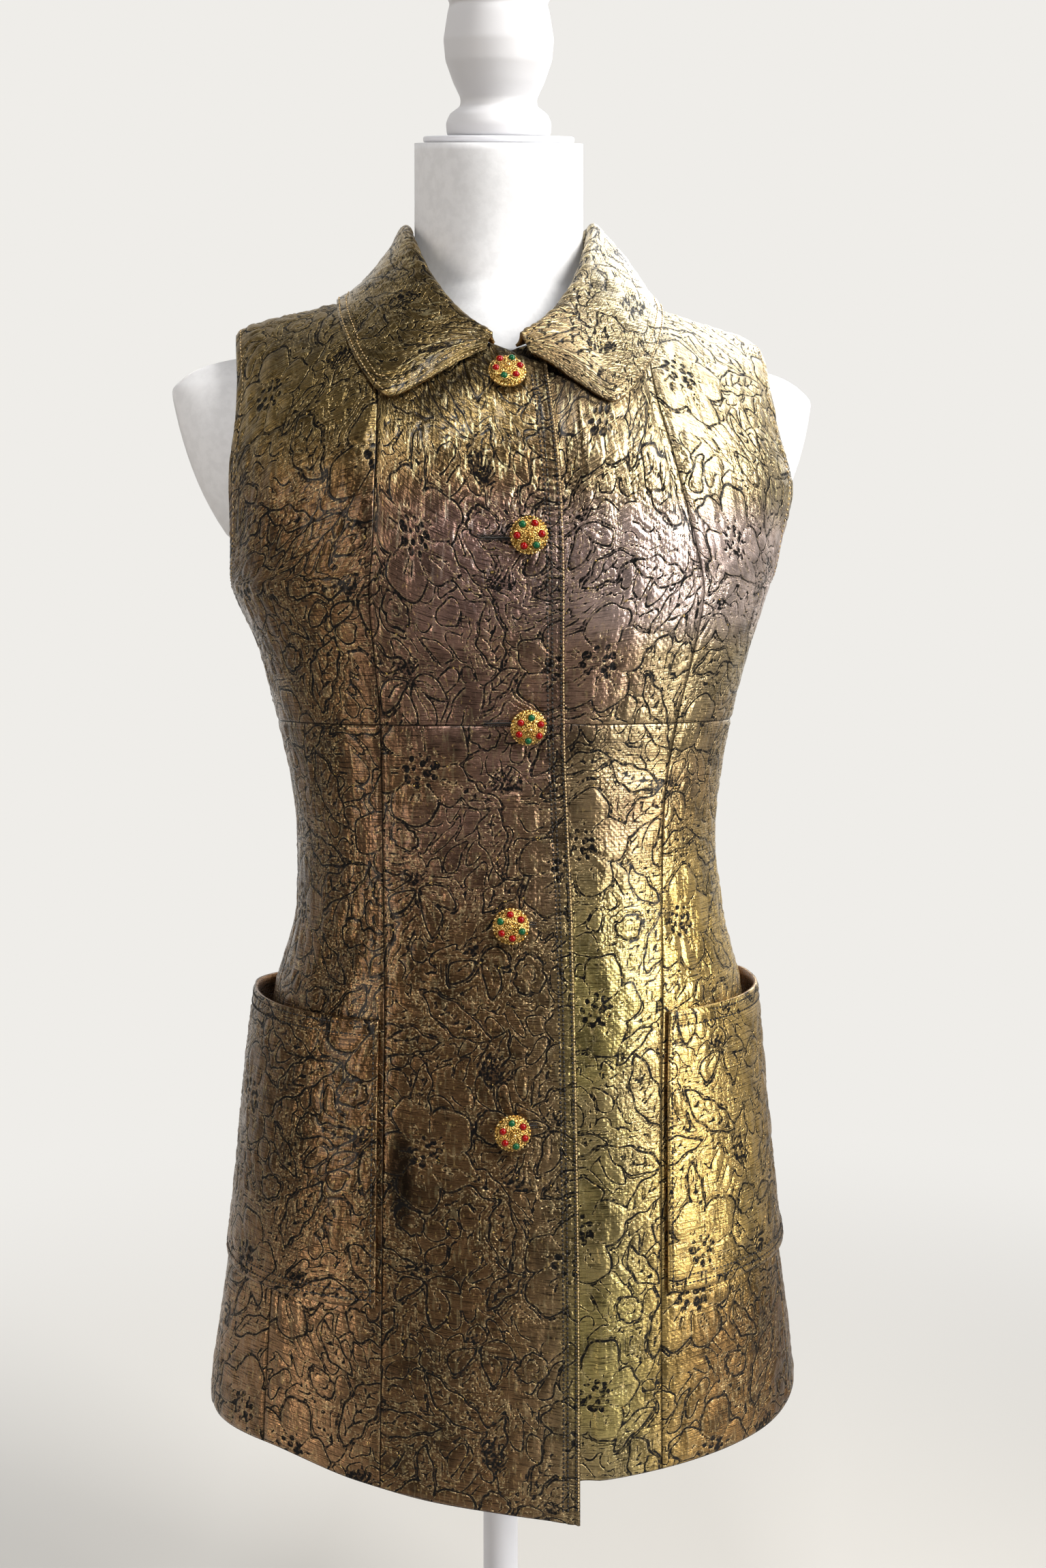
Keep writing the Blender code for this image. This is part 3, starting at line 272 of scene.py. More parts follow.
def smooth(x, xs, ys):
    """A cubic curve through a table's rows that doesn't overshoot them."""
    xs = np.asarray(xs, float)
    ys = np.asarray(ys, float)
    x = np.clip(x, xs[0], xs[-1])
    slope = np.diff(ys) / np.diff(xs)
    pairs = slope[:-1] * slope[1:]
    middle = np.where(pairs > 0, 2 * pairs / (slope[:-1] + slope[1:] + (pairs <= 0)), 0.0)
    tangent = np.concatenate([slope[:1], middle, slope[-1:]])
    i = np.clip(np.searchsorted(xs, x) - 1, 0, len(xs) - 2)
    step = xs[i + 1] - xs[i]
    t = (x - xs[i]) / step
    low = (1 + 2 * t) * (1 - t) ** 2 * ys[i] + t * (1 - t) ** 2 * step * tangent[i]
    high = t * t * (3 - 2 * t) * ys[i + 1] + t * t * (t - 1) * step * tangent[i + 1]
    return low + high


def read(rows, columns, name, x):
    """The named column of a table at x, where x is read along the first column."""
    first = [row[0] for row in rows]
    values = [row[columns.index(name)] for row in rows]
    return smooth(x, first, values)


def ease(t):
    """0 to 1 with soft ends."""
    t = np.clip(t, 0.0, 1.0)
    return t * t * (3 - 2 * t)


# %% the garment's face

def ridge_height(x):
    """Height of the shoulder line at a distance from the middle."""
    past_tip = np.maximum(np.abs(x) - TIP_START, 0.0)
    return RIDGE_AT_CENTRE_Z - RIDGE_FALL * np.abs(x) - TIP_ROUNDING * past_tip**2


def roll_over(x, z, ridge):
    """Share of the full depth that is left near the shoulder line, 0 on the line itself."""
    down = np.clip((ridge - z) / SHOULDER_ROLL, 0.0, 1.0)
    return np.sqrt(np.maximum(1 - (1 - down) ** 2, 0.0))


def half_width(z, right):
    left_half = read(SECTIONS, SECTION_COLUMNS, "left", z)
    right_half = read(SECTIONS, SECTION_COLUMNS, "right", z)
    return np.where(right, right_half, left_half)


def full_depth(z, front):
    front_depth = read(SECTIONS, SECTION_COLUMNS, "front", z)
    back_depth = read(SECTIONS, SECTION_COLUMNS, "back", z)
    return np.where(front, front_depth, back_depth)


def garment_point(angle, z):
    """The garment's plain outer face at an angle in radians and a height."""
    angle, z = np.broadcast_arrays(angle, z)
    across, ahead = np.sin(angle), np.cos(angle)
    half = half_width(z, across > 0)
    depth = full_depth(z, ahead > 0)
    n = read(SECTIONS, SECTION_COLUMNS, "square", z)
    reach = ((np.abs(across) / half) ** n + (np.abs(ahead) / depth) ** n) ** (-1 / n)
    x = reach * across
    y = -reach * ahead * roll_over(x, z, ridge_height(x))
    return np.stack([x, y, z], axis=-1)


def angle_at(x, z, front=True):
    """Angle of the point of a section that lies x from the middle."""
    half = half_width(z, np.asarray(x) > 0)
    depth = full_depth(z, np.full(np.shape(z), front))
    n = read(SECTIONS, SECTION_COLUMNS, "square", z)
    share = np.minimum(np.abs(x) / half, 0.999)
    y = depth * (1 - share**n) ** (1 / n)
    angle = np.arctan2(np.abs(x), y)
    return np.where(np.asarray(x) < 0, -1, 1) * (angle if front else math.pi - angle)


def garment_frame(angle, z):
    """A point of the garment's face and the outward direction there."""
    small = 1e-4
    here = garment_point(angle, z)
    beside = garment_point(angle + small, z)
    below = garment_point(angle, z - small)
    out = np.cross(beside - here, here - below)
    return here, out / np.linalg.norm(out, axis=-1, keepdims=True)


# %% seams and edges as rules

def princess(side):
    name = "left" if side < 0 else "right"
    return lambda z: angle_at(side * read(PRINCESS, PRINCESS_COLUMNS, name, z), z)


def back_princess(side):
    return lambda z: side * np.radians(read(BACK_SEAM, BACK_COLUMNS, "angle", z))


def side_edge(side, part):
    """The side seam, and above it the front or the back edge of the armhole."""
    name = "left" if side < 0 else "right"
    underarm = ARMHOLE[0][0]

    def edge(z):
        seam = read(SIDE_SEAM, SIDE_COLUMNS, name, z)
        armhole = read(ARMHOLE, ARMHOLE_COLUMNS, part, z)
        return side * np.radians(np.where(z < underarm, seam, armhole))

    return edge


def lap_edge(side):
    return lambda z: angle_at(side * read(LAP_EDGE, LAP_COLUMNS, "edge", z), z)


def round_the_back(edge):
    """The same edge, with its angle counted on past the middle of the back."""
    return lambda z: edge(z) + 2 * math.pi


def waist(angle, z):
    return np.full(np.shape(angle), WAIST_Z)


def hem(name):
    def height(angle, z):
        degrees = (np.degrees(angle) + 180.0) % 360.0 - 180.0
        return read(HEM, HEM_COLUMNS, name, degrees)

    return height


def collar_shift(y):
    """The neckline and the collar sit a little to the left at the front."""
    return COLLAR_SHIFT * np.clip(-y / 0.1, 0.0, 1.0)


def top_edge(side, part):
    """The neckline near the neck, and the shoulder line beyond it."""
    def height(angle, z):
        here = garment_point(angle, z)
        x = here[..., 0]
        own = side * (x - collar_shift(here[..., 1])) if side else np.abs(x)
        neckline = read(NECKLINE, NECKLINE_COLUMNS, part, own)
        ridge = ridge_height(x)
        return np.where(own < NECK_HALF_WIDTH, np.minimum(neckline, ridge), ridge)

    return height


def settle(height, angle_of, z):
    """The height where a column of angles meets an edge given as a height by angle."""
    for _ in range(14):
        z = height(angle_of(z), z)
    return z

# %% [markdown]
# A panel is laid out as a fine grid: columns run from one seam to the other and every column has
# even steps along the cloth. Distances along and up the cloth then give each point its place on
# the woven pattern, as if the pattern had been printed before cutting. A spare column on each
# side gives true directions at the seams.

# %% laying out a panel
def panel_grid(start, end, bottom, top, rows, columns):
    """Rows of points from one seam to the other, with even steps up every column."""
    shares = np.arange(-1, columns + 2) / columns
    angle_of = lambda z: start(z) + (end(z) - start(z)) * shares
    low = settle(bottom, angle_of, np.full(len(shares), 0.50))
    high = settle(top, angle_of, np.full(len(shares), 0.90))
    fine = low + (high - low) * (1 - (1 - np.linspace(0, 1, 321)[:, None]) ** 2)
    line = garment_point(angle_of(fine), fine)
    steps = np.linalg.norm(np.diff(line, axis=0), axis=-1)
    length = np.concatenate([np.zeros((1, len(shares))), np.cumsum(steps, axis=0)])
    heights = np.empty((rows + 1, len(shares)))
    for i in range(len(shares)):
        heights[:, i] = np.interp(np.linspace(0, length[-1, i], rows + 1), length[:, i], fine[:, i])
    return garment_point(angle_of(heights), heights)


def grid_directions(grid):
    """Outward directions of a grid that has one spare column on each side."""
    tall = np.concatenate([[2 * grid[0] - grid[1]], grid, [2 * grid[-1] - grid[-2]]])
    up = tall[2:] - tall[:-2]
    along = np.empty_like(grid)
    along[:, 1:-1] = grid[:, 2:] - grid[:, :-2]
    out = np.cross(along[:, 1:-1], up[:, 1:-1])
    on_ridge = np.abs(grid[-1, 1:-1, 1]) < 1e-6
    out[-1, on_ridge, 1] = 0.0
    return out / np.linalg.norm(out, axis=-1, keepdims=True)


def own_directions(grid):
    """Outward directions of a grid without spare columns."""
    out = np.cross(np.gradient(grid, axis=1), np.gradient(grid, axis=0))
    return out / np.linalg.norm(out, axis=-1, keepdims=True)


def cloth_places(grid):
    """Distances along and up the cloth from the middle column's foot, for each point."""
    across = np.linalg.norm(np.diff(grid, axis=1), axis=-1)
    along = np.concatenate([np.zeros((len(grid), 1)), np.cumsum(across, axis=1)], axis=1)
    middle = grid.shape[1] // 2
    along -= along[:, middle:middle + 1]
    steps = np.linalg.norm(np.diff(grid[:, middle], axis=0), axis=-1)
    up = np.concatenate([[0], np.cumsum(steps)])
    return along, np.repeat(up[:, None], grid.shape[1], axis=1)


def edge_distances(grid):
    """Distance along the cloth to the nearest edge, for each point."""
    across = np.linalg.norm(np.diff(grid, axis=1), axis=-1)
    along = np.concatenate([np.zeros((len(grid), 1)), np.cumsum(across, axis=1)], axis=1)
    upward = np.linalg.norm(np.diff(grid, axis=0), axis=-1)
    up = np.concatenate([np.zeros((1, grid.shape[1])), np.cumsum(upward, axis=0)], axis=0)
    sides = np.minimum(along, along[:, -1:] - along)
    ends = np.minimum(up, up[-1:] - up)
    return np.minimum(sides, ends)


def lap_offset(grid, side):
    """The lapping front lifts at its free edge, and the other one drops under it."""
    x, z = grid[..., 0], grid[..., 2]
    edge = read(LAP_EDGE, LAP_COLUMNS, "edge", z)
    if side < 0:
        return LAP_LIFT * ease((x - edge + LAP_LIFT_WIDTH) / LAP_LIFT_WIDTH)
    return -UNDER_DROP * (1 - ease((x - edge - 0.002) / UNDER_BLEND))


# %% [markdown]
# The weave repeats on a tile of 170 by 220 mm. Each flower, leaf and bud is a closed shape, and
# the depth inside it is a signed number that is zero on the outline. Stored on the mesh, that
# number draws a crisp stitched line between the mesh's points, which a plain colour per point
# couldn't do. The places are bent by a slow noise first, so no two flowers come out the same.

# %% the motifs of one repeat
TILE_WIDTH = 0.170
TILE_HEIGHT = 0.220
MOTIFS = (
    ("flower", 0.030, 0.036, 0.030, 10.0),
    ("flower", 0.118, 0.092, 0.031, 45.0),
    ("flower", 0.040, 0.162, 0.029, 80.0),
    ("drops", 0.116, 0.020, 0.026, -80.0),
    ("drops", 0.018, 0.112, 0.025, -110.0),
    ("drops", 0.146, 0.206, 0.025, -70.0),
    ("leaf", 0.078, 0.054, 0.025, 35.0),
    ("leaf", 0.074, 0.112, 0.024, 112.0),
    ("leaf", 0.162, 0.052, 0.021, 96.0),
    ("leaf", 0.102, 0.150, 0.024, 14.0),
    ("leaf", 0.136, 0.172, 0.022, 144.0),
    ("leaf", 0.086, 0.198, 0.024, 56.0),
    ("leaf", 0.062, 0.078, 0.019, 158.0),
    ("leaf", 0.070, 0.012, 0.017, 128.0),
    ("fan", 0.150, 0.128, 0.026, 70.0),
    ("fan", 0.080, 0.172, 0.022, -60.0),
    ("fan", 0.000, 0.070, 0.024, 100.0),
    ("leaf", 0.030, 0.082, 0.017, 20.0),
    ("leaf", 0.150, 0.080, 0.017, 150.0),
    ("leaf", 0.016, 0.138, 0.016, 60.0),
    ("leaf", 0.158, 0.150, 0.018, 78.0),
    ("leaf", 0.118, 0.128, 0.015, 100.0),
    ("leaf", 0.098, 0.030, 0.015, 170.0),
    ("leaf", 0.064, 0.138, 0.015, 40.0),
    ("leaf", 0.164, 0.020, 0.016, 50.0),
    ("bud", 0.155, 0.112, 0.0095, 0.0),
    ("bud", 0.084, 0.030, 0.0085, 60.0),
    ("bud", 0.008, 0.198, 0.0100, 40.0),
    ("bud", 0.060, 0.208, 0.0080, 10.0),
    ("bud", 0.108, 0.052, 0.0085, 25.0),
)
PETALS = 5
DOT_RADIUS = 0.0015
ECHO_PITCH = 0.0034
TAU = 2 * math.pi


def turned(du, dv, degrees):
    """Places along and across a direction."""
    c, s = math.cos(math.radians(degrees)), math.sin(math.radians(degrees))
    return du * c + dv * s, dv * c - du * s


def lens_depth(a, b, half_long, half_wide):
    """Depth inside a leaf with two pointed ends."""
    radius = (half_long**2 + half_wide**2) / (2 * half_wide)
    return radius - np.hypot(a, np.abs(b) + radius - half_wide)


def petal_edge(theta, reach, petals, depth, phase):
    """Distance of a flower's wavy outline from its middle, in a direction."""
    lobes = np.abs(np.cos(petals / 2 * theta)) ** 0.6
    uneven = 0.07 * np.sin(2 * theta + phase) + 0.035 * np.sin(11 * theta + 2 * phase)
    return reach * (1 - depth + depth * lobes + uneven)


def flower_depth(a, b, reach, petals=PETALS, depth=0.36, phase=0.0):
    """Depth inside a flower of broad petals that meet in notches."""
    far, theta = np.hypot(a, b) + 1e-6, np.arctan2(b, a)
    edge = petal_edge(theta, reach, petals, depth, phase)
    slope = (petal_edge(theta + 0.01, reach, petals, depth, phase) - edge) / 0.01 / far
    return (edge - far) / np.sqrt(1 + np.clip(slope, -1.8, 1.8) ** 2)


# %% value noise for streaks and unevenness
LATTICE = np.random.default_rng(5716).random((64, 64)) * 2 - 1


def soft_noise(x, y):
    """Smooth random values from -1 to 1, one for each unit square."""
    i, j = np.floor(x).astype(int), np.floor(y).astype(int)
    s, t = ease(x - i), ease(y - j)
    low = LATTICE[i % 64, j % 64] * (1 - s) + LATTICE[(i + 1) % 64, j % 64] * s
    high = LATTICE[i % 64, (j + 1) % 64] * (1 - s) + LATTICE[(i + 1) % 64, (j + 1) % 64] * s
    return low * (1 - t) + high * t


# %% the field of stitched outlines
def scrollwork(u, v):
    """Signed distance to broken scrolls on the ground between the motifs."""
    def rings(u, v):
        wave_u = u + 0.0050 * np.sin(TAU * (v / 0.060 + 0.3)) + 0.0042 * soft_noise(u / 0.015, v / 0.015)
        wave_v = v + 0.0060 * np.sin(TAU * (u / 0.052 + 0.1)) + 0.0042 * soft_noise(u / 0.013 + 9, v / 0.013)
        return np.abs(np.sin(math.pi * wave_u / 0.0118) * np.sin(math.pi * wave_v / 0.0168)) - 0.27

    small = 1e-4
    here = rings(u, v)
    slope = np.hypot(rings(u + small, v) - here, rings(u, v + small) - here) / small
    distance = np.clip(here / np.maximum(slope, 25.0), -0.01, 0.01)
    return np.where(soft_noise(u / 0.011 + 21, v / 0.011 + 4) < -0.50, 0.009, distance)


def weave(u, v):
    """Depth inside motifs, distance to inner lines and signed distance to scrolls."""
    bend_u = 0.0026 * soft_noise(u / 0.020 + 5, v / 0.020) + 0.0009 * soft_noise(u / 0.0065, v / 0.0065)
    bend_v = 0.0026 * soft_noise(u / 0.018, v / 0.018 + 7) + 0.0009 * soft_noise(u / 0.006 + 3, v / 0.006)
    u, v = u + bend_u, v + bend_v
    motif = np.full(np.shape(u), -0.009)
    inner = np.full(np.shape(u), 0.009)

    def add_line(distance, shows):
        np.minimum(inner, np.where(shows, np.abs(distance), 0.009), out=inner)

    for number, (kind, centre_u, centre_v, reach, turn) in enumerate(MOTIFS):
        du = (u - centre_u + TILE_WIDTH / 2) % TILE_WIDTH - TILE_WIDTH / 2
        dv = (v - centre_v + TILE_HEIGHT / 2) % TILE_HEIGHT - TILE_HEIGHT / 2
        a, b = turned(du, dv, turn)
        far, theta = np.hypot(a, b), np.arctan2(b, a)
        if kind == "flower":
            motif = np.maximum(motif, flower_depth(a, b, reach, PETALS, 0.36, number))
            for k in range(PETALS):
                notch = TAU * (k + 0.5) / PETALS + 10.0 * (far - 0.5 * reach)
                aside = (theta - notch + math.pi) % TAU - math.pi
                shows = (np.abs(aside) < 0.5) & (far > 0.34 * reach) & (far < 0.70 * reach)
                add_line(far * aside, shows)
                middle = (theta - TAU * k / PETALS + math.pi) % TAU - math.pi
                add_line(far * (np.abs(middle) - 0.10), (np.abs(middle) < 0.4) & (far > 0.38 * reach)
                         & (far < (0.48 + 0.05 * k) * reach))
            for ring, count in ((0.27 * reach, 9), (0.13 * reach, 4)):
                for k in range(count):
                    spoke = TAU * (k + 0.3) / count
                    size = DOT_RADIUS * (1.0 + 0.35 * math.sin(5.0 * k))
                    dot = np.hypot(a - ring * math.cos(spoke), b - ring * math.sin(spoke))
                    add_line(np.maximum(dot - size, 0.0), dot < 0.004)
        elif kind == "drops":
            for lean, long in ((-52.0, 0.86), (2.0, 1.0), (56.0, 0.82)):
                c, d = turned(a, b, lean)
                d = d - 0.16 * reach * np.sin(math.pi * np.clip(c / reach, 0, 1)) * np.sign(lean)
                drop = lens_depth(c - 0.54 * reach * long, d, 0.48 * reach * long, 0.21 * reach)
                motif = np.maximum(motif, drop)
                add_line(d, (drop > 0.0006) & (c < 0.66 * reach * long))
            for k in range(-3, 4):
                aside = (theta - math.pi - 0.24 * k + math.pi) % TAU - math.pi
                add_line(far * aside, (np.abs(aside) < 0.12) & (far > 0.08 * reach)
                         & (far < (0.50 - 0.03 * abs(k)) * reach))
        elif kind == "leaf":
            b = b - 0.16 * reach * (1 - (a / reach) ** 2) + 0.0008 * np.sin(a / 0.0021)
            blade = lens_depth(a, b, reach, 0.34 * reach)
            motif = np.maximum(motif, blade)
            add_line(b, (blade > 0.0004) & (np.abs(a) < 0.80 * reach))
            vein = (a - 0.9 * np.abs(b)) % 0.0062 - 0.0031
            add_line(vein * 0.74, (blade > 0.0011) & (np.abs(b) > 0.0006) & (a < 0.55 * reach))
        elif kind == "fan":
            for k in range(-5, 6):
                aside = (theta - 0.115 * k - 9.0 * (far - 0.5 * reach) + math.pi) % TAU - math.pi
                add_line(far * aside, (np.abs(aside) < 0.06) & (far > 0.30 * reach)
                         & (far < (1.0 - 0.012 * k * k) * reach) & (motif < -0.0004))
        else:
            motif = np.maximum(motif, flower_depth(a, b, reach, 7, 0.16, number))
            curl = (far - reach * (0.16 + 0.085 * ((theta + math.pi) % TAU)))
            add_line(curl, far < 0.70 * reach)
    scroll = scrollwork(u, v)
    echo = np.abs(-motif % ECHO_PITCH - ECHO_PITCH / 2)
    beside = (motif < -0.0012) & (motif > -0.0085) & (soft_noise(u / 0.024 + 13, v / 0.024 + 2) > -0.05)
    return motif, inner, np.where(beside, echo, scroll)


# %% puffs between the lines
PUFF_HEIGHT = 0.00062
PUFF_SLOPE = 0.0030
PUCKER = 0.00046


def puff_height(u, v, motif, inner, scroll):
    """Height of the soft puffs between the stitched lines, with fine upright puckers."""
    free = np.minimum(np.abs(motif), np.abs(inner))
    free = np.where(motif < 0, np.minimum(free, np.abs(scroll)), free)
    rise = 1 - (1 - np.clip(free / PUFF_SLOPE, 0, 1)) ** 2
    lean = u + 0.0016 * soft_noise(u / 0.020, v / 0.014)
    fold = 1 - 1.8 * np.abs(soft_noise(lean / 0.0070, v / 0.021))
    pucker = 0.35 * fold + 0.9 * soft_noise(lean / 0.0048 + 3, v / 0.018)
    pucker += 0.30 * soft_noise(u / 0.014 + 11, v / 0.0050)
    return PUFF_HEIGHT * rise + PUCKER * pucker * (0.25 + 0.75 * rise)


# %% [markdown]
# Creases are placed where the cloth is pulled: at the buttons, round the waist, at the
# armholes and in the flare of the skirt. Each is a soft trough or ridge, given by its place round
# the body, its direction and its size. The back has creases like those that the front shows.

# %% creases of the worn cloth

# A row gives the angle round the body, the height, the turn, half the length and width, and
# the rise, which is negative in a trough
CREASES = (
    (-26.0, 0.7330, 10.0, 0.034, 0.0060, -0.0013),
    (-14.0, 0.7050, -6.0, 0.030, 0.0065, -0.0012),
    (-30.0, 0.6880, 8.0, 0.040, 0.0085, -0.0014),
    (-22.0, 0.6520, -7.0, 0.038, 0.0090, -0.0015),
    (26.0, 0.6640, 7.0, 0.036, 0.0090, -0.0016),
    (38.0, 0.6980, -9.0, 0.030, 0.0080, -0.0013),
    (-52.0, 0.5980, 55.0, 0.036, 0.0110, -0.0018),
    (52.0, 0.5960, -52.0, 0.038, 0.0110, -0.0020),
    (-62.0, 0.8350, 62.0, 0.034, 0.0090, 0.0014),
    (60.0, 0.8380, -60.0, 0.036, 0.0095, 0.0015),
    (-38.0, 0.8750, 84.0, 0.040, 0.0100, 0.0012),
    (42.0, 0.8700, -82.0, 0.040, 0.0100, 0.0012),
    (20.0, 0.7900, 70.0, 0.034, 0.0090, -0.0011),
    (-8.0, 0.5500, 84.0, 0.060, 0.0150, -0.0012),
    (30.0, 0.5300, 92.0, 0.060, 0.0160, 0.0016),
    (-18.0, 0.3500, 88.0, 0.070, 0.0190, 0.0020),
    (22.0, 0.3550, 93.0, 0.070, 0.0200, 0.0022),
    (-78.0, 0.3500, 90.0, 0.070, 0.0230, 0.0020),
    (80.0, 0.3600, 88.0, 0.070, 0.0230, -0.0018),
    (180.0, 0.6650, 5.0, 0.050, 0.0090, -0.0016),
    (152.0, 0.6950, -8.0, 0.044, 0.0085, -0.0014),
    (-150.0, 0.6900, 9.0, 0.044, 0.0085, -0.0014),
    (166.0, 0.6300, 7.0, 0.040, 0.0090, -0.0013),
    (-160.0, 0.6350, -7.0, 0.040, 0.0090, -0.0013),
    (124.0, 0.8350, -60.0, 0.038, 0.0095, 0.0014),
    (-124.0, 0.8350, 60.0, 0.038, 0.0095, 0.0014),
    (160.0, 0.8800, 84.0, 0.045, 0.0120, 0.0013),
    (-158.0, 0.8750, -84.0, 0.045, 0.0120, 0.0013),
    (150.0, 0.3550, 90.0, 0.075, 0.0210, 0.0022),
    (-146.0, 0.3550, 91.0, 0.075, 0.0210, 0.0020),
    (178.0, 0.3700, 88.0, 0.080, 0.0200, -0.0018),
)
# The body's radius that turns an angle into a length
CREASE_RADIUS = 0.14


def crease_height(grid):
    """Sum of the hand-laid creases at each point of a grid."""
    degrees = np.degrees(np.arctan2(grid[..., 0], -grid[..., 1]))
    height = np.zeros(degrees.shape)
    for angle, z, turn, half_long, half_wide, rise in CREASES:
        du = np.radians((degrees - angle + 180.0) % 360.0 - 180.0) * CREASE_RADIUS
        a, b = turned(du, grid[..., 2] - z, turn)
        b = b + 0.15 * half_wide * np.sin(a / half_long * 4.0)
        height += rise * np.exp(-((a / half_long) ** 4) - (b / half_wide) ** 2)
    return height

# %% [markdown]
# Each cut piece is real cloth with a thickness, so it is a closed thin wall: a fine outer face
# that carries the weave, and a plainer inner face with every fourth point. The outer points
# keep their distances to the stitched outlines as attributes, and their places on the cloth as
# a UV map, so the material needs no picture.

# %% a mesh object, and a thin closed wall of cloth
INNER_STEP = 4


def shown(name, points, faces, materials=(), smooth=True):
    """A mesh object at the origin, in the scene."""
    mesh = bpy.data.meshes.new(name)
    mesh.from_pydata(points, [], faces)
    if smooth:
        mesh.shade_smooth()
    for material in materials:
        mesh.materials.append(material)
    obj = bpy.data.objects.new(name, mesh)
    bpy.context.scene.collection.objects.link(obj)
    return obj


def wall_faces(rows, columns):
    """Faces of a fine outer grid, a coarser inner one and the rims between them."""
    step = INNER_STEP
    place = np.arange(rows * columns).reshape(rows, columns)
    inner_rows, inner_columns = (rows - 1) // step + 1, (columns - 1) // step + 1
    inner = rows * columns + np.arange(inner_rows * inner_columns).reshape(inner_rows, inner_columns)

    def squares(at, flip):
        corners = [at[:-1, :-1], at[:-1, 1:], at[1:, 1:], at[1:, :-1]]
        return np.stack(corners[::-1] if flip else corners, axis=-1).reshape(-1, 4)

    quads = np.concatenate([squares(place, False), squares(inner, True)])
    loop = [(0, c) for c in range(columns)]
    loop += [(r, columns - 1) for r in range(1, rows)]
    loop += [(rows - 1, c) for c in range(columns - 2, -1, -1)]
    loop += [(r, 0) for r in range(rows - 2, -1, -1)]
    rims = []
    for i in range(0, len(loop) - 1, step):
        outer_run = [int(place[loop[i + k]]) for k in range(step + 1)]
        first = int(inner[loop[i][0] // step, loop[i][1] // step])
        last = int(inner[loop[i + step][0] // step, loop[i + step][1] // step])
        half = step // 2
        for k in range(half):
            rims.append((outer_run[k + 1], outer_run[k], first))
        rims.append((outer_run[half], first, last))
        for k in range(half, step):
            rims.append((outer_run[k + 1], outer_run[k], last))
    return quads.tolist() + rims


def cloth_wall(name, outer, inner, places, fields, materials):
    """A closed wall with the weave's numbers on its outer face. The inner face is the reverse."""
    points = np.concatenate([outer.reshape(-1, 3), inner.reshape(-1, 3)])
    obj = shown(name, points.tolist(), wall_faces(*outer.shape[:2]), materials)
    mesh = obj.data
    reverse = np.zeros((inner.shape[0] * inner.shape[1], 3))
    for label, (own, behind) in fields.items():
        values = np.concatenate([own.reshape(-1, 3), reverse + behind]).astype(np.float32)
        mesh.attributes.new(label, "FLOAT_VECTOR", "POINT").data.foreach_set("vector", values.ravel())
    along, up = places
    flat = np.stack([along, up], axis=-1)
    flat = np.concatenate([flat.reshape(-1, 2), flat[::INNER_STEP, ::INNER_STEP].reshape(-1, 2)])
    corners = np.empty(len(mesh.loops), dtype=np.int32)
    mesh.loops.foreach_get("vertex_index", corners)
    mesh.uv_layers.new(name="cloth").data.foreach_set("uv", flat[corners].astype(np.float32).ravel())
    return obj


# The reverse is far from every line and seam, has no band and is marked as the reverse
REVERSE_OUTLINE = (9.0, 9.0, 9.0)
REVERSE_MARKS = (0.0, 20.0, 1.0)
FARTHEST_SEAM = 0.05


def weave_fields(field, seam, band):
    """Attributes for the material, in millimetres, from the weave's field, the seams and the bands."""
    outline = np.stack(field, axis=-1) * 1000
    marks = np.stack([band, np.minimum(seam, FARTHEST_SEAM) * 1000, np.zeros_like(seam)], axis=-1)
    return {"outline": (outline, REVERSE_OUTLINE), "marks": (marks, REVERSE_MARKS)}


# %% where another piece lies on the cloth
COVER_REACH = 0.006
COVER_EDGE = 0.0012
COVER_FADE = 0.0034


def near_solids(names):
    """A search tree over solids of the part."""
    points, faces = [], []
    for name in names:
        mesh = solids[name].data
        first = len(points)
        points += [v.co.copy() for v in mesh.vertices]
        faces += [[first + i for i in face.vertices] for face in mesh.polygons]
    return BVHTree.FromPolygons(points, faces)


lying_on = near_solids(["collar", "left_pocket", "right_pocket"] + [f"button_{n}" for n in range(1, 6)])


def bare_share(grid):
    """1 on open cloth, falling to 0 where another piece lies on it."""
    flat = grid.reshape(-1, 3)
    distance = np.full(len(flat), 1.0)
    for i, point in enumerate(flat.tolist()):
        found = lying_on.find_nearest(point, COVER_REACH)
        if found[3] is not None:
            distance[i] = found[3]
    return ease((distance.reshape(grid.shape[:2]) - COVER_EDGE) / COVER_FADE)


# %% [markdown]
# The finishes come before the pieces. A material is a tree of nodes, and one function adds any
# of them: it makes the node, gives it its settings, and puts a number, a colour or another
# node's output on each of its inputs. The kinds that come back often have a short name here.

# %% helpers for materials
def linear(code):
    """An sRGB hex colour as linear values for a shader."""
    parts = [int(code[i:i + 2], 16) / 255 for i in (0, 2, 4)]
    return tuple(p / 12.92 if p <= 0.04045 else ((p + 0.055) / 1.055) ** 2.4 for p in parts)


# A short name, then the node's type, its inputs in order, its output and its settings
KINDS = {
    "step": ("ShaderNodeMapRange", range(5), 0, {"interpolation_type": "SMOOTHSTEP"}),
    "mix": ("ShaderNodeMix", ("Factor", "A", "B"), "Result", {"data_type": "RGBA"}),
    "noise": ("ShaderNodeTexNoise", ("Vector", "Scale", "Detail", "Roughness"), 0, {}),
    "cells": ("ShaderNodeTexVoronoi", ("Vector", "Scale"), "Distance", {"feature": "F1"}),
    "stretch": ("ShaderNodeMapping", ("Vector", "Scale"), 0, {}),
    "bump": ("ShaderNodeBump", ("Height", "Strength", "Distance"), "Normal", {}),
    "parts": ("ShaderNodeSeparateXYZ", range(1), 0, {}),
}
for word, operation in (("times", "MULTIPLY"), ("plus", "ADD"), ("less", "SUBTRACT"),
                        ("over", "DIVIDE"), ("larger", "MAXIMUM"), ("size", "ABSOLUTE")):
    KINDS[word] = ("ShaderNodeMath", range(2), 0, {"operation": operation})


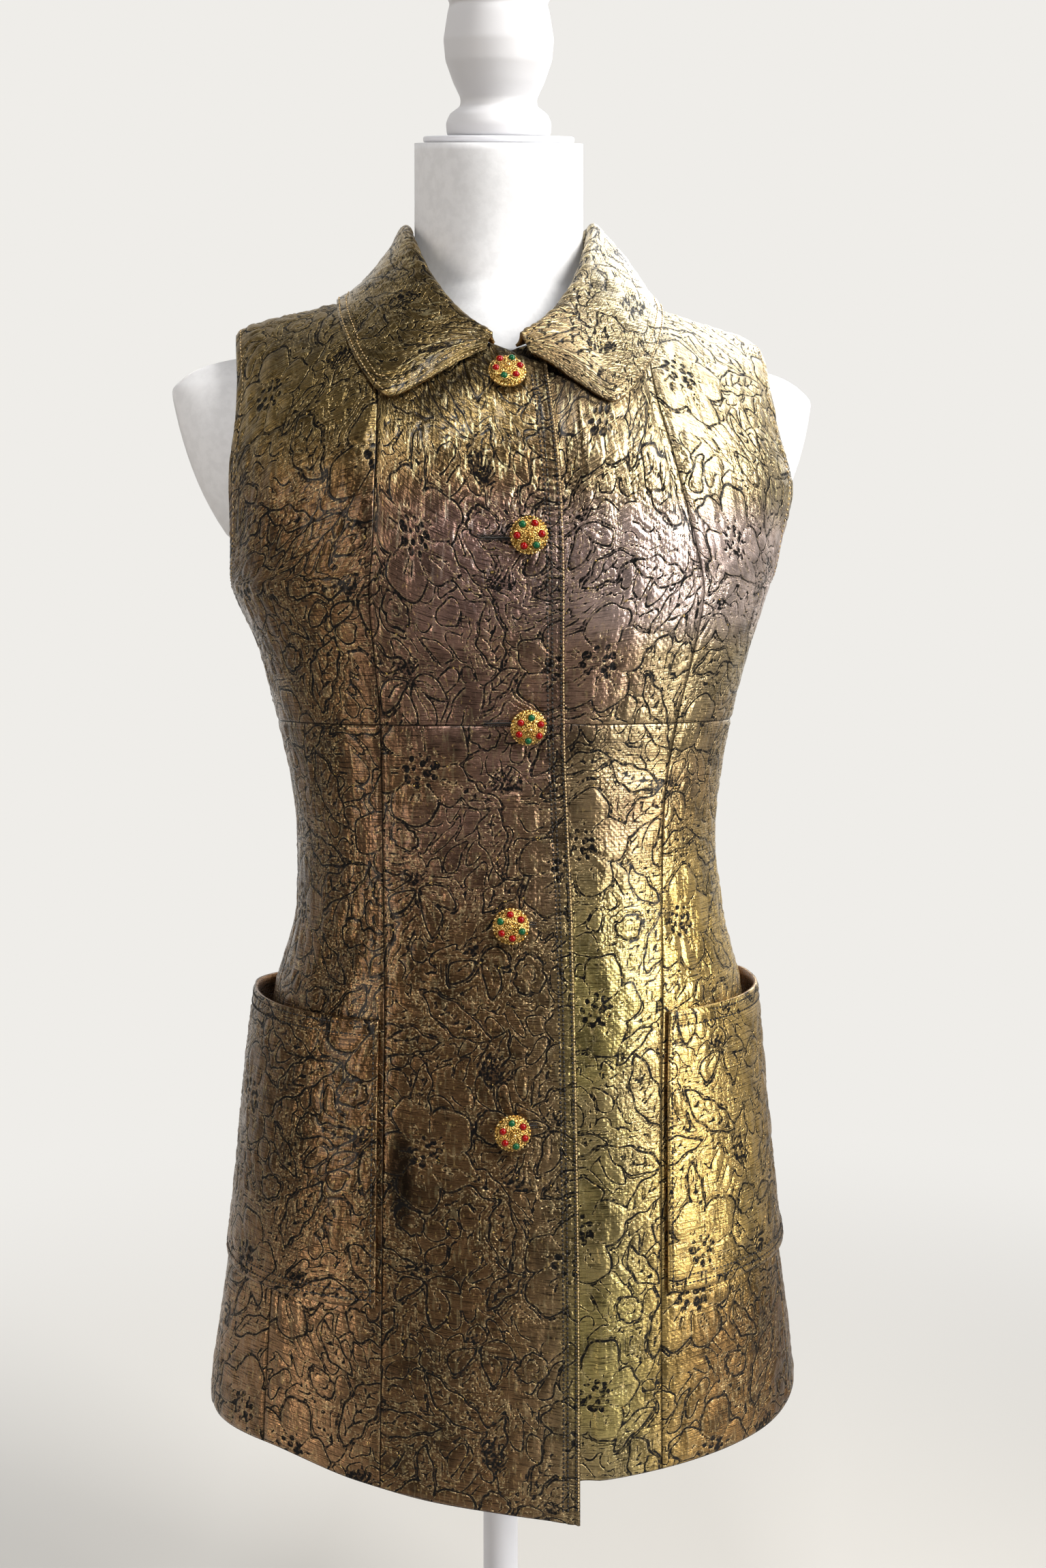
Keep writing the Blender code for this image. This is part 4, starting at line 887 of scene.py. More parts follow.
def add(owner, kind, *values, out=None, **settings):
    """Add a node and give back one of its outputs. Inputs come in order or in a dictionary."""
    tree = getattr(owner, "node_tree", owner)
    kind, names, usual_out, usual = KINDS.get(kind, (kind, range(9), 0, {}))
    node = tree.nodes.new(kind)
    for label, value in {**usual, **settings}.items():
        setattr(node, label, value)
    if values and isinstance(values[0], dict):
        names, values = values[0].keys(), values[0].values()
    for key, value in zip(names, values):
        if isinstance(value, bpy.types.NodeSocket):
            tree.links.new(value, node.inputs[key])
        else:
            node.inputs[key].default_value = (*linear(value), 1.0) if isinstance(value, str) else value
    return node.outputs[usual_out if out is None else out]


def new_material(name, colour, roughness, metallic=0.0, **sockets):
    material = bpy.data.materials.new(name)
    material.use_nodes = True
    shader = material.node_tree.nodes["Principled BSDF"]
    shader.inputs["Base Color"].default_value = (*linear(colour), 1.0)
    shader.inputs["Roughness"].default_value = roughness
    shader.inputs["Metallic"].default_value = metallic
    for label, value in sockets.items():
        shader.inputs[label.replace("_", " ")].default_value = value
    return material


def feed(material, **sources):
    """Link outputs of nodes to sockets of the material's shader."""
    shader = material.node_tree.nodes["Principled BSDF"]
    for label, source in sources.items():
        material.node_tree.links.new(source, shader.inputs[label.replace("_", " ")])


# %% [markdown]
# Brocade is woven with flat film yarn, a metal under a thin clear film, over dark silk. That
# gives the eye a warm metal whose gloss is drawn out along the yarn, with near-black stitching.
# The outline attribute holds the distances to the motifs, to their inner lines and to the
# scrolls of the ground. Soft steps turn them into lines about a millimetre wide, and cells of
# 1.7 mm break these into stitches with pale beads beside them. Noises stretched along the yarn
# give picks, threads and streaks. The real picks are about 0.3 mm apart, too fine to show, so
# they are drawn 0.8 mm apart. The regions of colour are painted reflections and painted light
# and shade: the shades that the film takes from its surroundings, paler on the side that the
# window lights. They follow the body's own X and Z, so they stay in place in every view. Painted
# highlights sit on the streaks, the gold glints in the stitched lines are painted, and painted
# shade lies beside the outlines and under the collar.

# %% the brocade's finish
# The pale gold is painted light, for the side of the cloth that the window lights
BRONZE, LIT_PALE_GOLD, OLIVE_GOLD, COPPER, UMBER = "6A5036", "BCA982", "AFA062", "97766A", "130E0A"
BREAK_SIZE, BEAD_SIZE, GLINT_SIZE = 0.0017, 0.0014, 0.0021
TWILL_SIZE, RIB_SIZE = 0.0052, 0.0145
# Place and size of a darker spot on the skirt beside a pocket's seam
DARK_SPOT_X, DARK_SPOT_Z, DARK_SPOT_HALF_WIDTH, DARK_SPOT_HALF_HEIGHT = -0.0665, 0.468, 0.0085, 0.036
# The collar's lower edge at the front; painted shade lies on the cloth under it
COLLAR_POINT_Z, COLLAR_EDGE_FALL = 0.932, 0.62


def brocade_material(name, roughness=0.29):
    material = new_material(name, "6A5138", roughness, 0.90, Coat_Weight=0.12, Coat_Roughness=0.18,
                            Specular_IOR_Level=0.10, Anisotropic=0.80, Anisotropic_Rotation=0.25)
    node = partial(add, material)

    def share(*steps):
        """The product of shares. One in brackets is a step: source, start, end, values there."""
        made = [node("step", *step) if isinstance(step, tuple) else step for step in steps]
        return reduce(partial(node, "times"), made)

    outline = node("ShaderNodeAttribute", out="Vector", attribute_name="outline")
    motif, inner, scroll = node("parts", outline).node.outputs
    marks = node("ShaderNodeAttribute", out="Vector", attribute_name="marks")
    band, from_seam, reverse = node("parts", marks).node.outputs
    cloth = node("ShaderNodeUVMap", uv_map="cloth")
    where = node("ShaderNodeTexCoord", out="Object")
    x, y, z = node("parts", where).node.outputs
    ground = node("step", motif, -0.9, -0.3, 1.0, 0.0)

    def stitched(core, edge):
        """All lines: full up to the core's distance in millimetres and gone at the edge's."""
        lines = [node("step", node("size", far), thin * core, thin * edge, 1.0, 0.0)
                 for far, thin in ((motif, 1.0), (inner, 0.86), (scroll, 0.76))]
        return node("larger", node("larger", lines[0], lines[1]), node("times", lines[2], ground))

    drawn = stitched(0.47, 0.78)
    beside = node("less", stitched(1.15, 1.55), drawn)
    breaks = node("cells", cloth, 1 / BREAK_SIZE)
    dark = share(drawn, (breaks, 0.52, 0.86, 1.0, 0.52))
    beads = share(beside, (node("cells", cloth, 1 / BEAD_SIZE), 0.25, 0.60, 1.0, 0.0))
    glint_cells = node("cells", cloth, 1 / GLINT_SIZE, out="Color")
    glint = share((glint_cells, 0.84, 0.90, 0.0, 0.8), (breaks, 0.25, 0.45, 1.0, 0.0))
    streaks = node("noise", node("stretch", cloth, (400.0, 85.0, 1.0)), 1.0, 2.0)
    picks = node("noise", node("stretch", cloth, (64.0, 1300.0, 1.0)), 1.0, 3.0, 0.65)
    threads = node("noise", node("stretch", cloth, (560.0, 260.0, 1.0)), 1.0, 2.0)
    warm = node("noise", where, 9.0, 2.0)
    patch = node("noise", where, 55.0, 3.0)

    low, window_lit_side = node("step", z, 0.78, 0.58), node("step", x, -0.02, 0.11)
    # A band of painted pink sheen across the bust, paler on the side that the window lights
    pink_sheen = share((z, 0.760, 0.790), (z, 0.856, 0.826), (x, -0.10, -0.02, 0.0, 0.80))
    rosy_sheen = node("mix", window_lit_side, "A08078", "EED8D2")
    clear = node("less", 1.0, share(pink_sheen, window_lit_side, 0.75))
    # Painted highlights on the streaks, strongest on the upper chest
    upper = share((z, 0.78, 0.84), (x, -0.10, -0.02, 0.0, 0.85))
    highlight_strokes = node("mix", pink_sheen, "EDDCA8", "F2D8DC")
    front = node("step", y, -0.02, -0.06)
    # Distance from the darker spot on the skirt
    spot_x = node("over", node("plus", x, -DARK_SPOT_X), DARK_SPOT_HALF_WIDTH)
    spot_z = node("over", node("less", z, DARK_SPOT_Z), DARK_SPOT_HALF_HEIGHT)
    from_dark_spot = node("plus", node("times", spot_x, spot_x), node("times", spot_z, spot_z))
    from_dark_spot = node("plus", from_dark_spot, node("times", patch, 0.8))
    # Distance below the collar's lower edge, for the painted shade under the collar
    aside = node("size", node("plus", x, 0.004))
    collar_edge = node("less", COLLAR_POINT_Z, node("times", aside, COLLAR_EDGE_FALL))
    below = node("less", collar_edge, z)
    seam = node("step", from_seam, 0.15, 0.60, 0.92, 0.0)

    # Painted light: the cloth turns from bronze to pale gold towards +X, where the window light falls
    tone = node("mix", window_lit_side, BRONZE, LIT_PALE_GOLD)
    for colour, *shares in (
        (OLIVE_GOLD, low, (x, 0.018, 0.036, 0.0, 0.85), (warm, 0.35, 0.6)),
        (COPPER, (z, 0.58, 0.70), (z, 0.88, 0.80), (x, -0.11, -0.03), (warm, 0.42, 0.60, 0.15, 0.75)),
        # The painted pink sheen
        (rosy_sheen, pink_sheen),
        # A painted peach highlight low on the -X side of the skirt
        ("A98461", (z, 0.46, 0.38), (x, -0.07, -0.11), 0.7),
        ("D0AE66", low, (x, 0.055, 0.100, 0.0, 0.85)),
        # Painted shade at the outer +X edge of the skirt, where it turns away from the light
        ("7E5C3A", low, (x, 0.135, 0.175, 0.0, 0.80)),
        # Painted shade on the +X side towards the hem
        ("6E4E31", (z, 0.43, 0.36), (x, 0.06, 0.12, 0.0, 0.85)),
        # Painted light on the upper chest on the -X side
        ("9C8654", (x, 0.03, -0.02), (z, 0.84, 0.90), 0.75),
        # A painted highlight high on the window's side, over the collar and shoulder
        ("DCCFA8", window_lit_side, (z, 0.90, 0.98, 0.0, 0.8)),
        (UMBER, (patch, 0.45, 0.70, 0.0, 0.55)),
        # Picks of the weave, kept off the painted pink highlight on the lit side
        (UMBER, clear, (picks, 0.50, 0.62, 0.0, 0.85)),
        # Painted highlight strokes on the ridges of the streaks
        (highlight_strokes, (streaks, 0.55, 0.68), node("larger", 0.12, upper)),
        ("D9B979", (threads, 0.60, 0.74, 0.0, 0.45)),
        # Painted shade in the dips beside the outlines
        (UMBER, (node("size", motif), 0.7, 2.2, 0.30, 0.0)),
        (UMBER, band, 0.35),
        ("E6CF9C", beads, 0.34),
        # Dark stitched lines, with painted gold glints in them
        (node("mix", glint, "070606", "C2A25C"), dark),
        # A darker spot on the front of the skirt beside a pocket's seam
        ("0B0908", front, (from_dark_spot, 0.55, 1.5, 0.85, 0.0)),
        # Painted shade on the front cloth just under the collar's lower edge
        ("1A130B", front, (below, -0.003, 0.001), (below, 0.026, 0.003, 0.0, 0.78), (aside, 0.062, 0.045)),
        ("120D09", seam),
        ("7C5529", reverse),
    ):
        tone = node("mix", share(*shares), tone, colour)

    dull = node("larger", dark, seam)
    rough = node("step", picks, 0.35, 0.70, roughness - 0.06, roughness + 0.16)
    twill = node("ShaderNodeTexWave", {"Vector": cloth, "Scale": 1 / TWILL_SIZE, "Distortion": 1.2,
                 "Detail": 2.0}, out="Fac", wave_type="BANDS", bands_direction="DIAGONAL")
    ribs = node("ShaderNodeTexWave", {"Vector": cloth, "Scale": 1 / RIB_SIZE, "Distortion": 0.6},
                out="Fac", wave_type="BANDS", bands_direction="Y")
    relief = node("times", drawn, -0.45)
    for height, amount in ((picks, 0.70), (threads, 0.45), (twill, 0.14), (streaks, 1.10),
                           (beads, 0.25), (ribs, node("times", band, 0.9))):
        relief = node("plus", relief, node("times", height, amount))
    feed(material, Base_Color=tone, Roughness=node("larger", rough, node("times", dull, 0.60)),
         Metallic=node("less", 0.92, node("times", dull, 0.85)), Normal=node("bump", relief, 0.72, 0.0006),
         Tangent=node("ShaderNodeTangent", direction_type="UV_MAP", uv_map="cloth"))
    return material


brocade = brocade_material("gilt_matelasse_brocade")
print("brocade drawn with", len(brocade.node_tree.nodes), "nodes")


# %% [markdown]
# The cut pieces of the body. In a workroom they are cut from flat cloth by the pattern and sewn
# at the princess, side and waist seams. Here each takes its patch of the garment's face, and the
# puffs sink and fade at its seams, as the sewing presses them flat.

# %% one cut piece
FRONT_PITCH = 0.0015
BACK_PITCH = 0.0021
SEAM_PRESS = 0.0028
SEAM_DIP = 0.0002
SEAM_DIP_WIDTH = 0.0012
CREASE_FADE = 0.012


def pieces_of(length, pitch):
    """A number of steps of about one pitch that the inner face's step divides."""
    return max(INNER_STEP, INNER_STEP * int(round(length / pitch / INNER_STEP)))


def edge_band(grid):
    """1 on the stitched band along the lapping front's free edge."""
    past = read(LAP_EDGE, LAP_COLUMNS, "edge", grid[..., 2]) - grid[..., 0]
    return 1 - ease((past - 0.0078) / 0.0012)


def edge_cord(past):
    """The turned edge stands up as a cord, and two rows of sewing sink beside it."""
    cord = 0.0008 * np.exp(-(((past - 0.0012) / 0.0011) ** 2))
    rows = np.exp(-(((past - 0.0030) / 0.0007) ** 2)) + np.exp(-(((past - 0.0086) / 0.0008) ** 2))
    return cord - 0.0005 * rows


def outer_area(obj):
    """Half the surface of a thin closed wall, which is the area of its cloth."""
    return 0.5 * sum(face.area for face in obj.data.polygons)


def fine_panel(name, start, end, bottom, top, pitch, lap=0, shift=(0.0, 0.0)):
    rough_cut = panel_grid(start, end, bottom, top, 16, 8)[:, 1:-1]
    wide = np.linalg.norm(np.diff(rough_cut, axis=1), axis=-1).sum(axis=1).max()
    tall = np.linalg.norm(np.diff(rough_cut, axis=0), axis=-1).sum(axis=0).max()
    spare = panel_grid(start, end, bottom, top, pieces_of(tall, pitch), pieces_of(wide, pitch))
    out = grid_directions(spare)
    grid = spare[:, 1:-1]
    along, up = cloth_places(grid)
    field = weave(along + shift[0], up + shift[1])
    puff = puff_height(along + shift[0], up + shift[1], *field)
    seam = edge_distances(grid)
    bare = bare_share(grid)
    raised = puff * bare * ease(seam / SEAM_PRESS) - SEAM_DIP * (1 - ease(seam / SEAM_DIP_WIDTH)) * bare
    offset = crease_height(grid) * bare * ease(seam / CREASE_FADE + 0.35)
    if lap:
        offset = offset * 0.6 + lap_offset(grid, lap)
    if lap > 0:
        raised = raised * ease((offset + 0.0004) / 0.0004)
    band = np.zeros_like(seam)
    if lap < 0:
        band = edge_band(grid)
        past = read(LAP_EDGE, LAP_COLUMNS, "edge", grid[..., 2]) - grid[..., 0]
        raised = raised * (1 - 0.8 * band) + edge_cord(past)
        seam = np.where(past < 0.006, 0.02, seam)
    outer = grid + out * (offset + raised)[..., None]
    inner = (grid + out * (offset - WALL)[..., None])[::INNER_STEP, ::INNER_STEP]
    obj = cloth_wall(name, outer, inner, (along, up), weave_fields(field, seam, band), [brocade])
    area = outer_area(obj)
    steps = f"{grid.shape[1] - 1} by {grid.shape[0] - 1} steps"
    print(f"{name}: {steps}, {wide * 1000:.0f} x {tall * 1000:.0f} mm, {area * 1e4:.0f} cm2")
    return obj, (float(wide), float(tall)), area


# %% the body's fourteen pieces
cloth_pieces = {}


def cut_pair(name, edges, bottom, top, pitch, lap, upper_shift, lower_shift):
    """An upper and a lower piece between the same two seams, which meet at the waist."""
    levels = (("upper", waist, top, upper_shift), ("lower", bottom, waist, lower_shift))
    for level, foot, head, shift in levels:
        piece = f"{name}_{level}"
        cloth_pieces[piece] = fine_panel(f"{piece}_cloth", *edges, foot, head, pitch, lap, shift)


back_hem, back_top = hem("under"), top_edge(0, "back")
for side, word in ((-1, "right"), (1, "left")):
    by_angle = slice(None, None, -side)
    front_hem, front_top = hem("lapping" if side < 0 else "under"), top_edge(side, "front")
    seam_line = princess(side)
    cut_pair(f"{word}_centre_front", (seam_line, lap_edge(-side))[by_angle], front_hem, front_top,
             FRONT_PITCH, side, (0.02 * side, 0.0), (0.02 * side, 0.11))
    cut_pair(f"{word}_side_front", (side_edge(side, "front"), seam_line)[by_angle], front_hem, front_top,
             FRONT_PITCH, 0, (0.06, 0.05 * side), (0.06, 0.16))
    cut_pair(f"{word}_side_back", (back_princess(side), side_edge(side, "back"))[by_angle], back_hem,
             back_top, BACK_PITCH, 0, (0.10, 0.08), (0.10, 0.02))
cut_pair("centre_back", (back_princess(1), round_the_back(back_princess(-1))), back_hem, back_top,
         BACK_PITCH, 0, (0.04, 0.13), (0.04, 0.05))

# %% [markdown]
# The pockets are patches laid over the lower side fronts. They are caught in the princess seam,
# stitched down along the bottom and held away from the body at the mouth, so that a hand can go
# in. The same gape rule as the solid's opens them.

# %% the pockets
def pocket_gape(side, share_along, share_up):
    """How far a pocket stands away: shut at both ends and the bottom, widest at the side."""
    opening = ease(share_along / 0.62) * (1 - ease((share_along - 0.72) / 0.28))
    return POCKET_GAPE["left" if side < 0 else "right"] * opening * share_up**1.5


def pocket_sheet(side, rows, columns):
    """The pocket's own patch with spare columns, and shares along and up it."""
    inner_edge, back_edge = princess(side), math.radians(side * POCKET_BACK_ANGLE)
    lap_in = math.radians(side * 1.2)
    front = lambda z: inner_edge(z) + lap_in
    back = lambda z: np.full(np.shape(z), back_edge)
    start, end = (front, back) if side > 0 else (back, front)
    spare = panel_grid(start, end, lambda a, z: np.full(np.shape(a), POCKET_BOTTOM_Z),
                       lambda a, z: np.full(np.shape(a), POCKET_TOP_Z), rows, columns)
    share_along = np.linspace(0, 1, columns + 1)[None, :]
    if side < 0:
        share_along = 1 - share_along
    return spare, share_along, np.linspace(0, 1, rows + 1)[:, None]


BAND = 0.0095


def fine_pocket(name, side):
    rows, columns = pieces_of(0.162, FRONT_PITCH), pieces_of(0.205, FRONT_PITCH)
    spare, share_along, share_up = pocket_sheet(side, rows, columns)
    out = grid_directions(spare)
    grid = spare[:, 1:-1]
    along, up = cloth_places(grid)
    field = weave(along + 0.03, up + 0.07 * side)
    puff = puff_height(along + 0.03, up + 0.07 * side, *field)
    seam = edge_distances(grid)
    down_from_top = up[-1, 0] - up
    band_line = 1 - ease(np.abs(down_from_top - BAND) / 0.0028)
    bottom_rows = 1 - ease(np.abs(up - 0.0060) / 0.0032)
    raised = puff * ease(seam / SEAM_PRESS) * (1 - 0.85 * np.maximum(band_line, bottom_rows))
    raised = raised + crease_height(grid) * 0.5 * ease(seam / 0.02)
    lifted = POCKET_CLEAR + pocket_gape(side, share_along, share_up)
    inner = (grid + out * lifted[..., None])[::INNER_STEP, ::INNER_STEP]
    outer = grid + out * (lifted + POCKET_WALL + np.maximum(raised, -0.0009))[..., None]
    fields = weave_fields(field, np.maximum(seam, 0.0006), np.zeros_like(seam))
    obj = cloth_wall(f"{name}_cloth", outer, inner, (along, up), fields, [brocade])
    wide, tall = float(np.ptp(along[0])), float(up[-1, 0])
    print(f"{name}: {columns} by {rows} steps, {wide * 1000:.0f} x {tall * 1000:.0f} mm")
    return obj, (wide, tall), outer_area(obj), (grid, out, lifted + POCKET_WALL)


pocket_faces = {}
for side, word in ((-1, "right"), (1, "left")):
    *made, face = fine_pocket(f"{word}_pocket", side)
    cloth_pieces[f"{word}_pocket"] = tuple(made)
    pocket_faces[word] = face

# %% [markdown]
# The collar is one folded sheet: a stand that rises from the neckline, a roll, and a fall that
# comes down to two points. The sheet is laid out on a few strips as the solid's is, lifted clear
# of the cloth below, and then drawn much finer along smooth curves.

# %% the collar's folded sheet
def surface_frame(x, z, side):
    """A point of the garment's face, straight on the shoulder line for a ridge row."""
    if side == "ridge":
        out = np.array([RIDGE_FALL, 0.0, 1.0])
        return np.array([x, 0.0, ridge_height(x)]), out / np.linalg.norm(out)
    return garment_frame(angle_at(np.array(x), np.array(z), side == "front"), np.array(z))


def collar_sections(rows, drop):
    """For each row of a half collar, the middle line of its folded sheet on the +X side."""
    sections = []
    for row in rows:
        sewn_x, sewn_z, roll_x, roll_y, roll_z, edge_x, edge_z, swell, side = row
        sewn, sewn_out = surface_frame(sewn_x, sewn_z, side)
        edge, edge_out = surface_frame(edge_x, edge_z, side)
        roll = np.array([roll_x, roll_y, roll_z])
        away = np.array([roll_x, roll_y, 0.0])
        away /= np.linalg.norm(away)
        away[2] = 0.25
        climb = (roll - sewn) / np.linalg.norm(roll - sewn)
        inside = WALL / 2
        if side == "front":
            inside += drop * (1 - ease(sewn_x / 0.045))
        foot = sewn - inside * sewn_out + COLLAR_FOOT_GAP * climb
        roll_in = roll - COLLAR_FOLD * away
        halfway = (foot + roll_in) / 2
        roll_top = roll + np.array([0.0, 0.0, 0.0018])
        roll_out = roll + COLLAR_FOLD * away
        hem_point = edge + (COLLAR_CLEAR + COLLAR_WALL / 2) * edge_out
        bend = (roll_out + hem_point) / 2 + swell * (away + edge_out)
        fall = []
        for t in (0.2, 0.4, 0.6, 0.8, 1.0):
            fall.append((1 - t) ** 2 * roll_out + 2 * t * (1 - t) * bend + t * t * hem_point)
        sections.append([foot, halfway, roll_in, roll_top, roll_out] + fall)
    return np.array(sections)


def spread_stations(sections, count):
    """More stations between the rows of the table; the pointed edge keeps its corner."""
    rows = np.arange(len(sections), dtype=float)
    stations = np.linspace(0, len(sections) - 1, count)
    stations[np.argmin(np.abs(stations - 3))] = 3.0
    out = np.empty((count, sections.shape[1], 3))
    for j in range(sections.shape[1]):
        for k in range(3):
            out[:, j, k] = smooth(stations, rows, sections[:, j, k])
    return out


# %% keeping the collar clear of the cloth below
def garment_samples():
    """Points of the garment's upper face with their outward directions."""
    points, outs = [], []
    for front in (True, False):
        xs = np.linspace(-0.125, 0.125, 126)
        downs = np.linspace(0.02, 1.0, 60) ** 2 * 0.105
        x, down = np.meshgrid(xs, downs)
        x = x + 1e-5
        z = ridge_height(x) - down
        here, out = garment_frame(angle_at(x, z, front), z)
        points.append(here.reshape(-1, 3))
        outs.append(out.reshape(-1, 3))
    return np.concatenate(points), np.concatenate(outs)


def lift_over(sheet, first, need):
    """Move the falling part of the collar out until it lies outside the cloth below it."""
    points, outs = garment_samples()
    for _ in range(3):
        for i in range(sheet.shape[0]):
            for j in range(first, sheet.shape[1]):
                here = sheet[i, j]
                nearest = np.argmin(np.sum((points - here) ** 2, axis=1))
                room = np.dot(here - points[nearest], outs[nearest])
                lap = LAP_LIFT if 0 < here[0] < 0.024 and here[1] < 0 else 0.0
                if room < need + lap:
                    sheet[i, j] = here + (need + lap - room) * outs[nearest]
    return sheet


def keep_clear(sheet, cloth, need):
    """Move a sheet's squares away from cloth that is nearer than it should be."""
    places = ((0.0, 0.0), (0.5, 0.0), (0.0, 0.5), (0.5, 0.5))
    for _ in range(6):
        for u, v in places:
            corners = [(a, b) for a in range(1 + (u > 0)) for b in range(1 + (v > 0))]
            for i in range(sheet.shape[0] - (u > 0)):
                for j in range(sheet.shape[1] - (v > 0)):
                    used = [(i + a, j + b) for a, b in corners]
                    here = Vector(np.mean([sheet[k] for k in used], axis=0))
                    near, normal, _, distance = cloth.find_nearest(here)
                    if 0.0001 < distance < need and (here - near).dot(normal) > 0:
                        move = (here - near) * (need / distance - 1)
                        for k in used:
                            sheet[k] += np.array(move)
    return sheet


# %% the fine collar
COLLAR_FINE = 380
COLLAR_STRIPS = 64
COLLAR_ROWS = (0.0022, 0.0080)
COLLAR_ROW_WIDTH = 0.0016


def refined(sheet, count, axis):
    """More points along one axis of a sheet, on smooth curves through the ones it has."""
    sheet = np.moveaxis(sheet, axis, 0)
    rows = np.arange(len(sheet), dtype=float)
    stations = np.linspace(0, len(sheet) - 1, count + 1)
    out = np.empty((count + 1,) + sheet.shape[1:])
    for j in range(sheet.shape[1]):
        for k in range(3):
            out[:, j, k] = smooth(stations, rows, sheet[:, j, k])
    return np.moveaxis(out, 0, axis)


def collar_sheet():
    lapping = spread_stations(collar_sections(COLLAR_LAPPING, 0.0), COLLAR_STATIONS)
    under = spread_stations(collar_sections(COLLAR_UNDER, UNDER_DROP), COLLAR_STATIONS)
    sheet = np.concatenate([lapping * np.array([-1.0, 1.0, 1.0]), under[::-1][1:]])
    sheet[..., 0] += collar_shift(sheet[..., 1])
    need = COLLAR_CLEAR + COLLAR_WALL / 2
    upper = [name for name in solids if name.endswith("_upper")]
    sheet = keep_clear(lift_over(sheet, 5, need), near_solids(upper), need)
    return np.transpose(sheet, (1, 0, 2))


collar_grid = refined(refined(collar_sheet(), COLLAR_FINE, 1), COLLAR_STRIPS, 0)
collar_out = own_directions(collar_grid)
along, up = cloth_places(collar_grid)
collar_edge = edge_distances(collar_grid)
field = weave(along + 0.01, up + 0.06)
puff = puff_height(along + 0.01, up + 0.06, *field)
near_row = np.minimum(*(np.abs(collar_edge - inside) for inside in COLLAR_ROWS))
rows_of_stitching = 1 - ease(near_row / COLLAR_ROW_WIDTH)
raised = puff * 0.8 * ease(collar_edge / 0.004) * (1 - 0.8 * rows_of_stitching)
outer = collar_grid + collar_out * (COLLAR_WALL / 2 + raised)[..., None]
inner = (collar_grid - collar_out * COLLAR_WALL / 2)[::INNER_STEP, ::INNER_STEP]
collar_fields = weave_fields(field, np.maximum(collar_edge, 0.002), np.zeros_like(collar_edge))
collar_cloth = cloth_wall("collar_cloth", outer, inner, (along, up), collar_fields, [brocade])
collar_round, collar_tall = float(np.ptp(along[-1])), float(up[-1, 0])
cloth_pieces["collar"] = (collar_cloth, (collar_round, collar_tall), outer_area(collar_cloth))
print("collar:", round(collar_round * 1000), "mm round its edge")


# %% [markdown]
# Rows of sewing are the same short stitch again and again along a path, so a small Geometry
# Nodes tree makes them all: it turns the path into a curve, marks it at even distances, puts a
# stitch on each mark along the path, and makes the result real geometry.

# %% a tree that sews along a path
def stitch_tree():
    tree = bpy.data.node_groups.new("sew_along_path", "GeometryNodeTree")
    face = tree.interface
    face.new_socket("Geometry", in_out="INPUT", socket_type="NodeSocketGeometry")
    for label, value in (("Pitch", 0.003), ("Stitch length", 0.0022), ("Stitch width", 0.0007),
                         ("Uneven", 0.15)):
        face.new_socket(label, in_out="INPUT", socket_type="NodeSocketFloat").default_value = value
    face.new_socket("Material", in_out="INPUT", socket_type="NodeSocketMaterial")
    face.new_socket("Geometry", in_out="OUTPUT", socket_type="NodeSocketGeometry")
    node, links = partial(add, tree), tree.links
    given = tree.nodes.new("NodeGroupInput").outputs
    curve = node("GeometryNodeMeshToCurve", given["Geometry"])
    even = node("GeometryNodeResampleCurve", {"Curve": curve}).node
    if hasattr(even, "mode"):
        even.mode = "LENGTH"
    else:
        even.inputs["Mode"].default_value = "Length"
    links.new(given["Pitch"], even.inputs["Length"])
    keep = node("GeometryNodeCaptureAttribute", even.outputs["Curve"]).node
    keep.capture_items.new("VECTOR", "along")
    links.new(node("GeometryNodeInputTangent"), keep.inputs["along"])
    turn = node("FunctionNodeAlignRotationToVector", {"Vector": keep.outputs["along"]}, axis="X")
    ball = node("GeometryNodeMeshIcoSphere", {"Radius": 0.5, "Subdivisions": 1})
    soft = node("GeometryNodeSetShadeSmooth", ball)
    shortest = node("less", 1.0, given["Uneven"])
    vary = node("FunctionNodeRandomValue", {2: shortest, 3: 1.0, "Seed": 7}, out=1)
    length, width = node("times", vary, given["Stitch length"]), given["Stitch width"]
    size = node("ShaderNodeCombineXYZ", length, width, width)
    put = node("GeometryNodeInstanceOnPoints", {"Points": keep.outputs["Geometry"], "Instance": soft,
               "Rotation": turn, "Scale": size})
    real = node("GeometryNodeRealizeInstances", put)
    paint = node("GeometryNodeSetMaterial", {"Geometry": real, "Material": given["Material"]})
    links.new(paint, tree.nodes.new("NodeGroupOutput").inputs["Geometry"])
    return tree


def grown(name, mesh, tree, settings):
    """A plain mesh object from a start mesh and a tree's settings."""
    start = bpy.data.objects.new(name + "_path", mesh)
    bpy.context.scene.collection.objects.link(start)
    modifier = start.modifiers.new("grow", "NODES")
    modifier.node_group = tree
    for item in tree.interface.items_tree:
        if item.item_type == "SOCKET" and item.in_out == "INPUT" and item.name in settings:
            modifier[item.identifier] = settings[item.name]
    bpy.context.view_layer.update()
    evaluated = start.evaluated_get(bpy.context.evaluated_depsgraph_get())
    made = bpy.data.meshes.new_from_object(evaluated)
    start.modifiers.remove(modifier)
    bpy.data.objects.remove(start, do_unlink=True)
    obj = bpy.data.objects.new(name, made)
    bpy.context.scene.collection.objects.link(obj)
    return obj


def path_mesh(name, paths):
    """Edges along one or more rows of points."""
    points, edges = [], []
    for path in paths:
        first = len(points)
        points += [tuple(p) for p in path]
        edges += [(first + i, first + i + 1) for i in range(len(path) - 1)]
    mesh = bpy.data.meshes.new(name)
    mesh.from_pydata(points, edges, [])
    return mesh


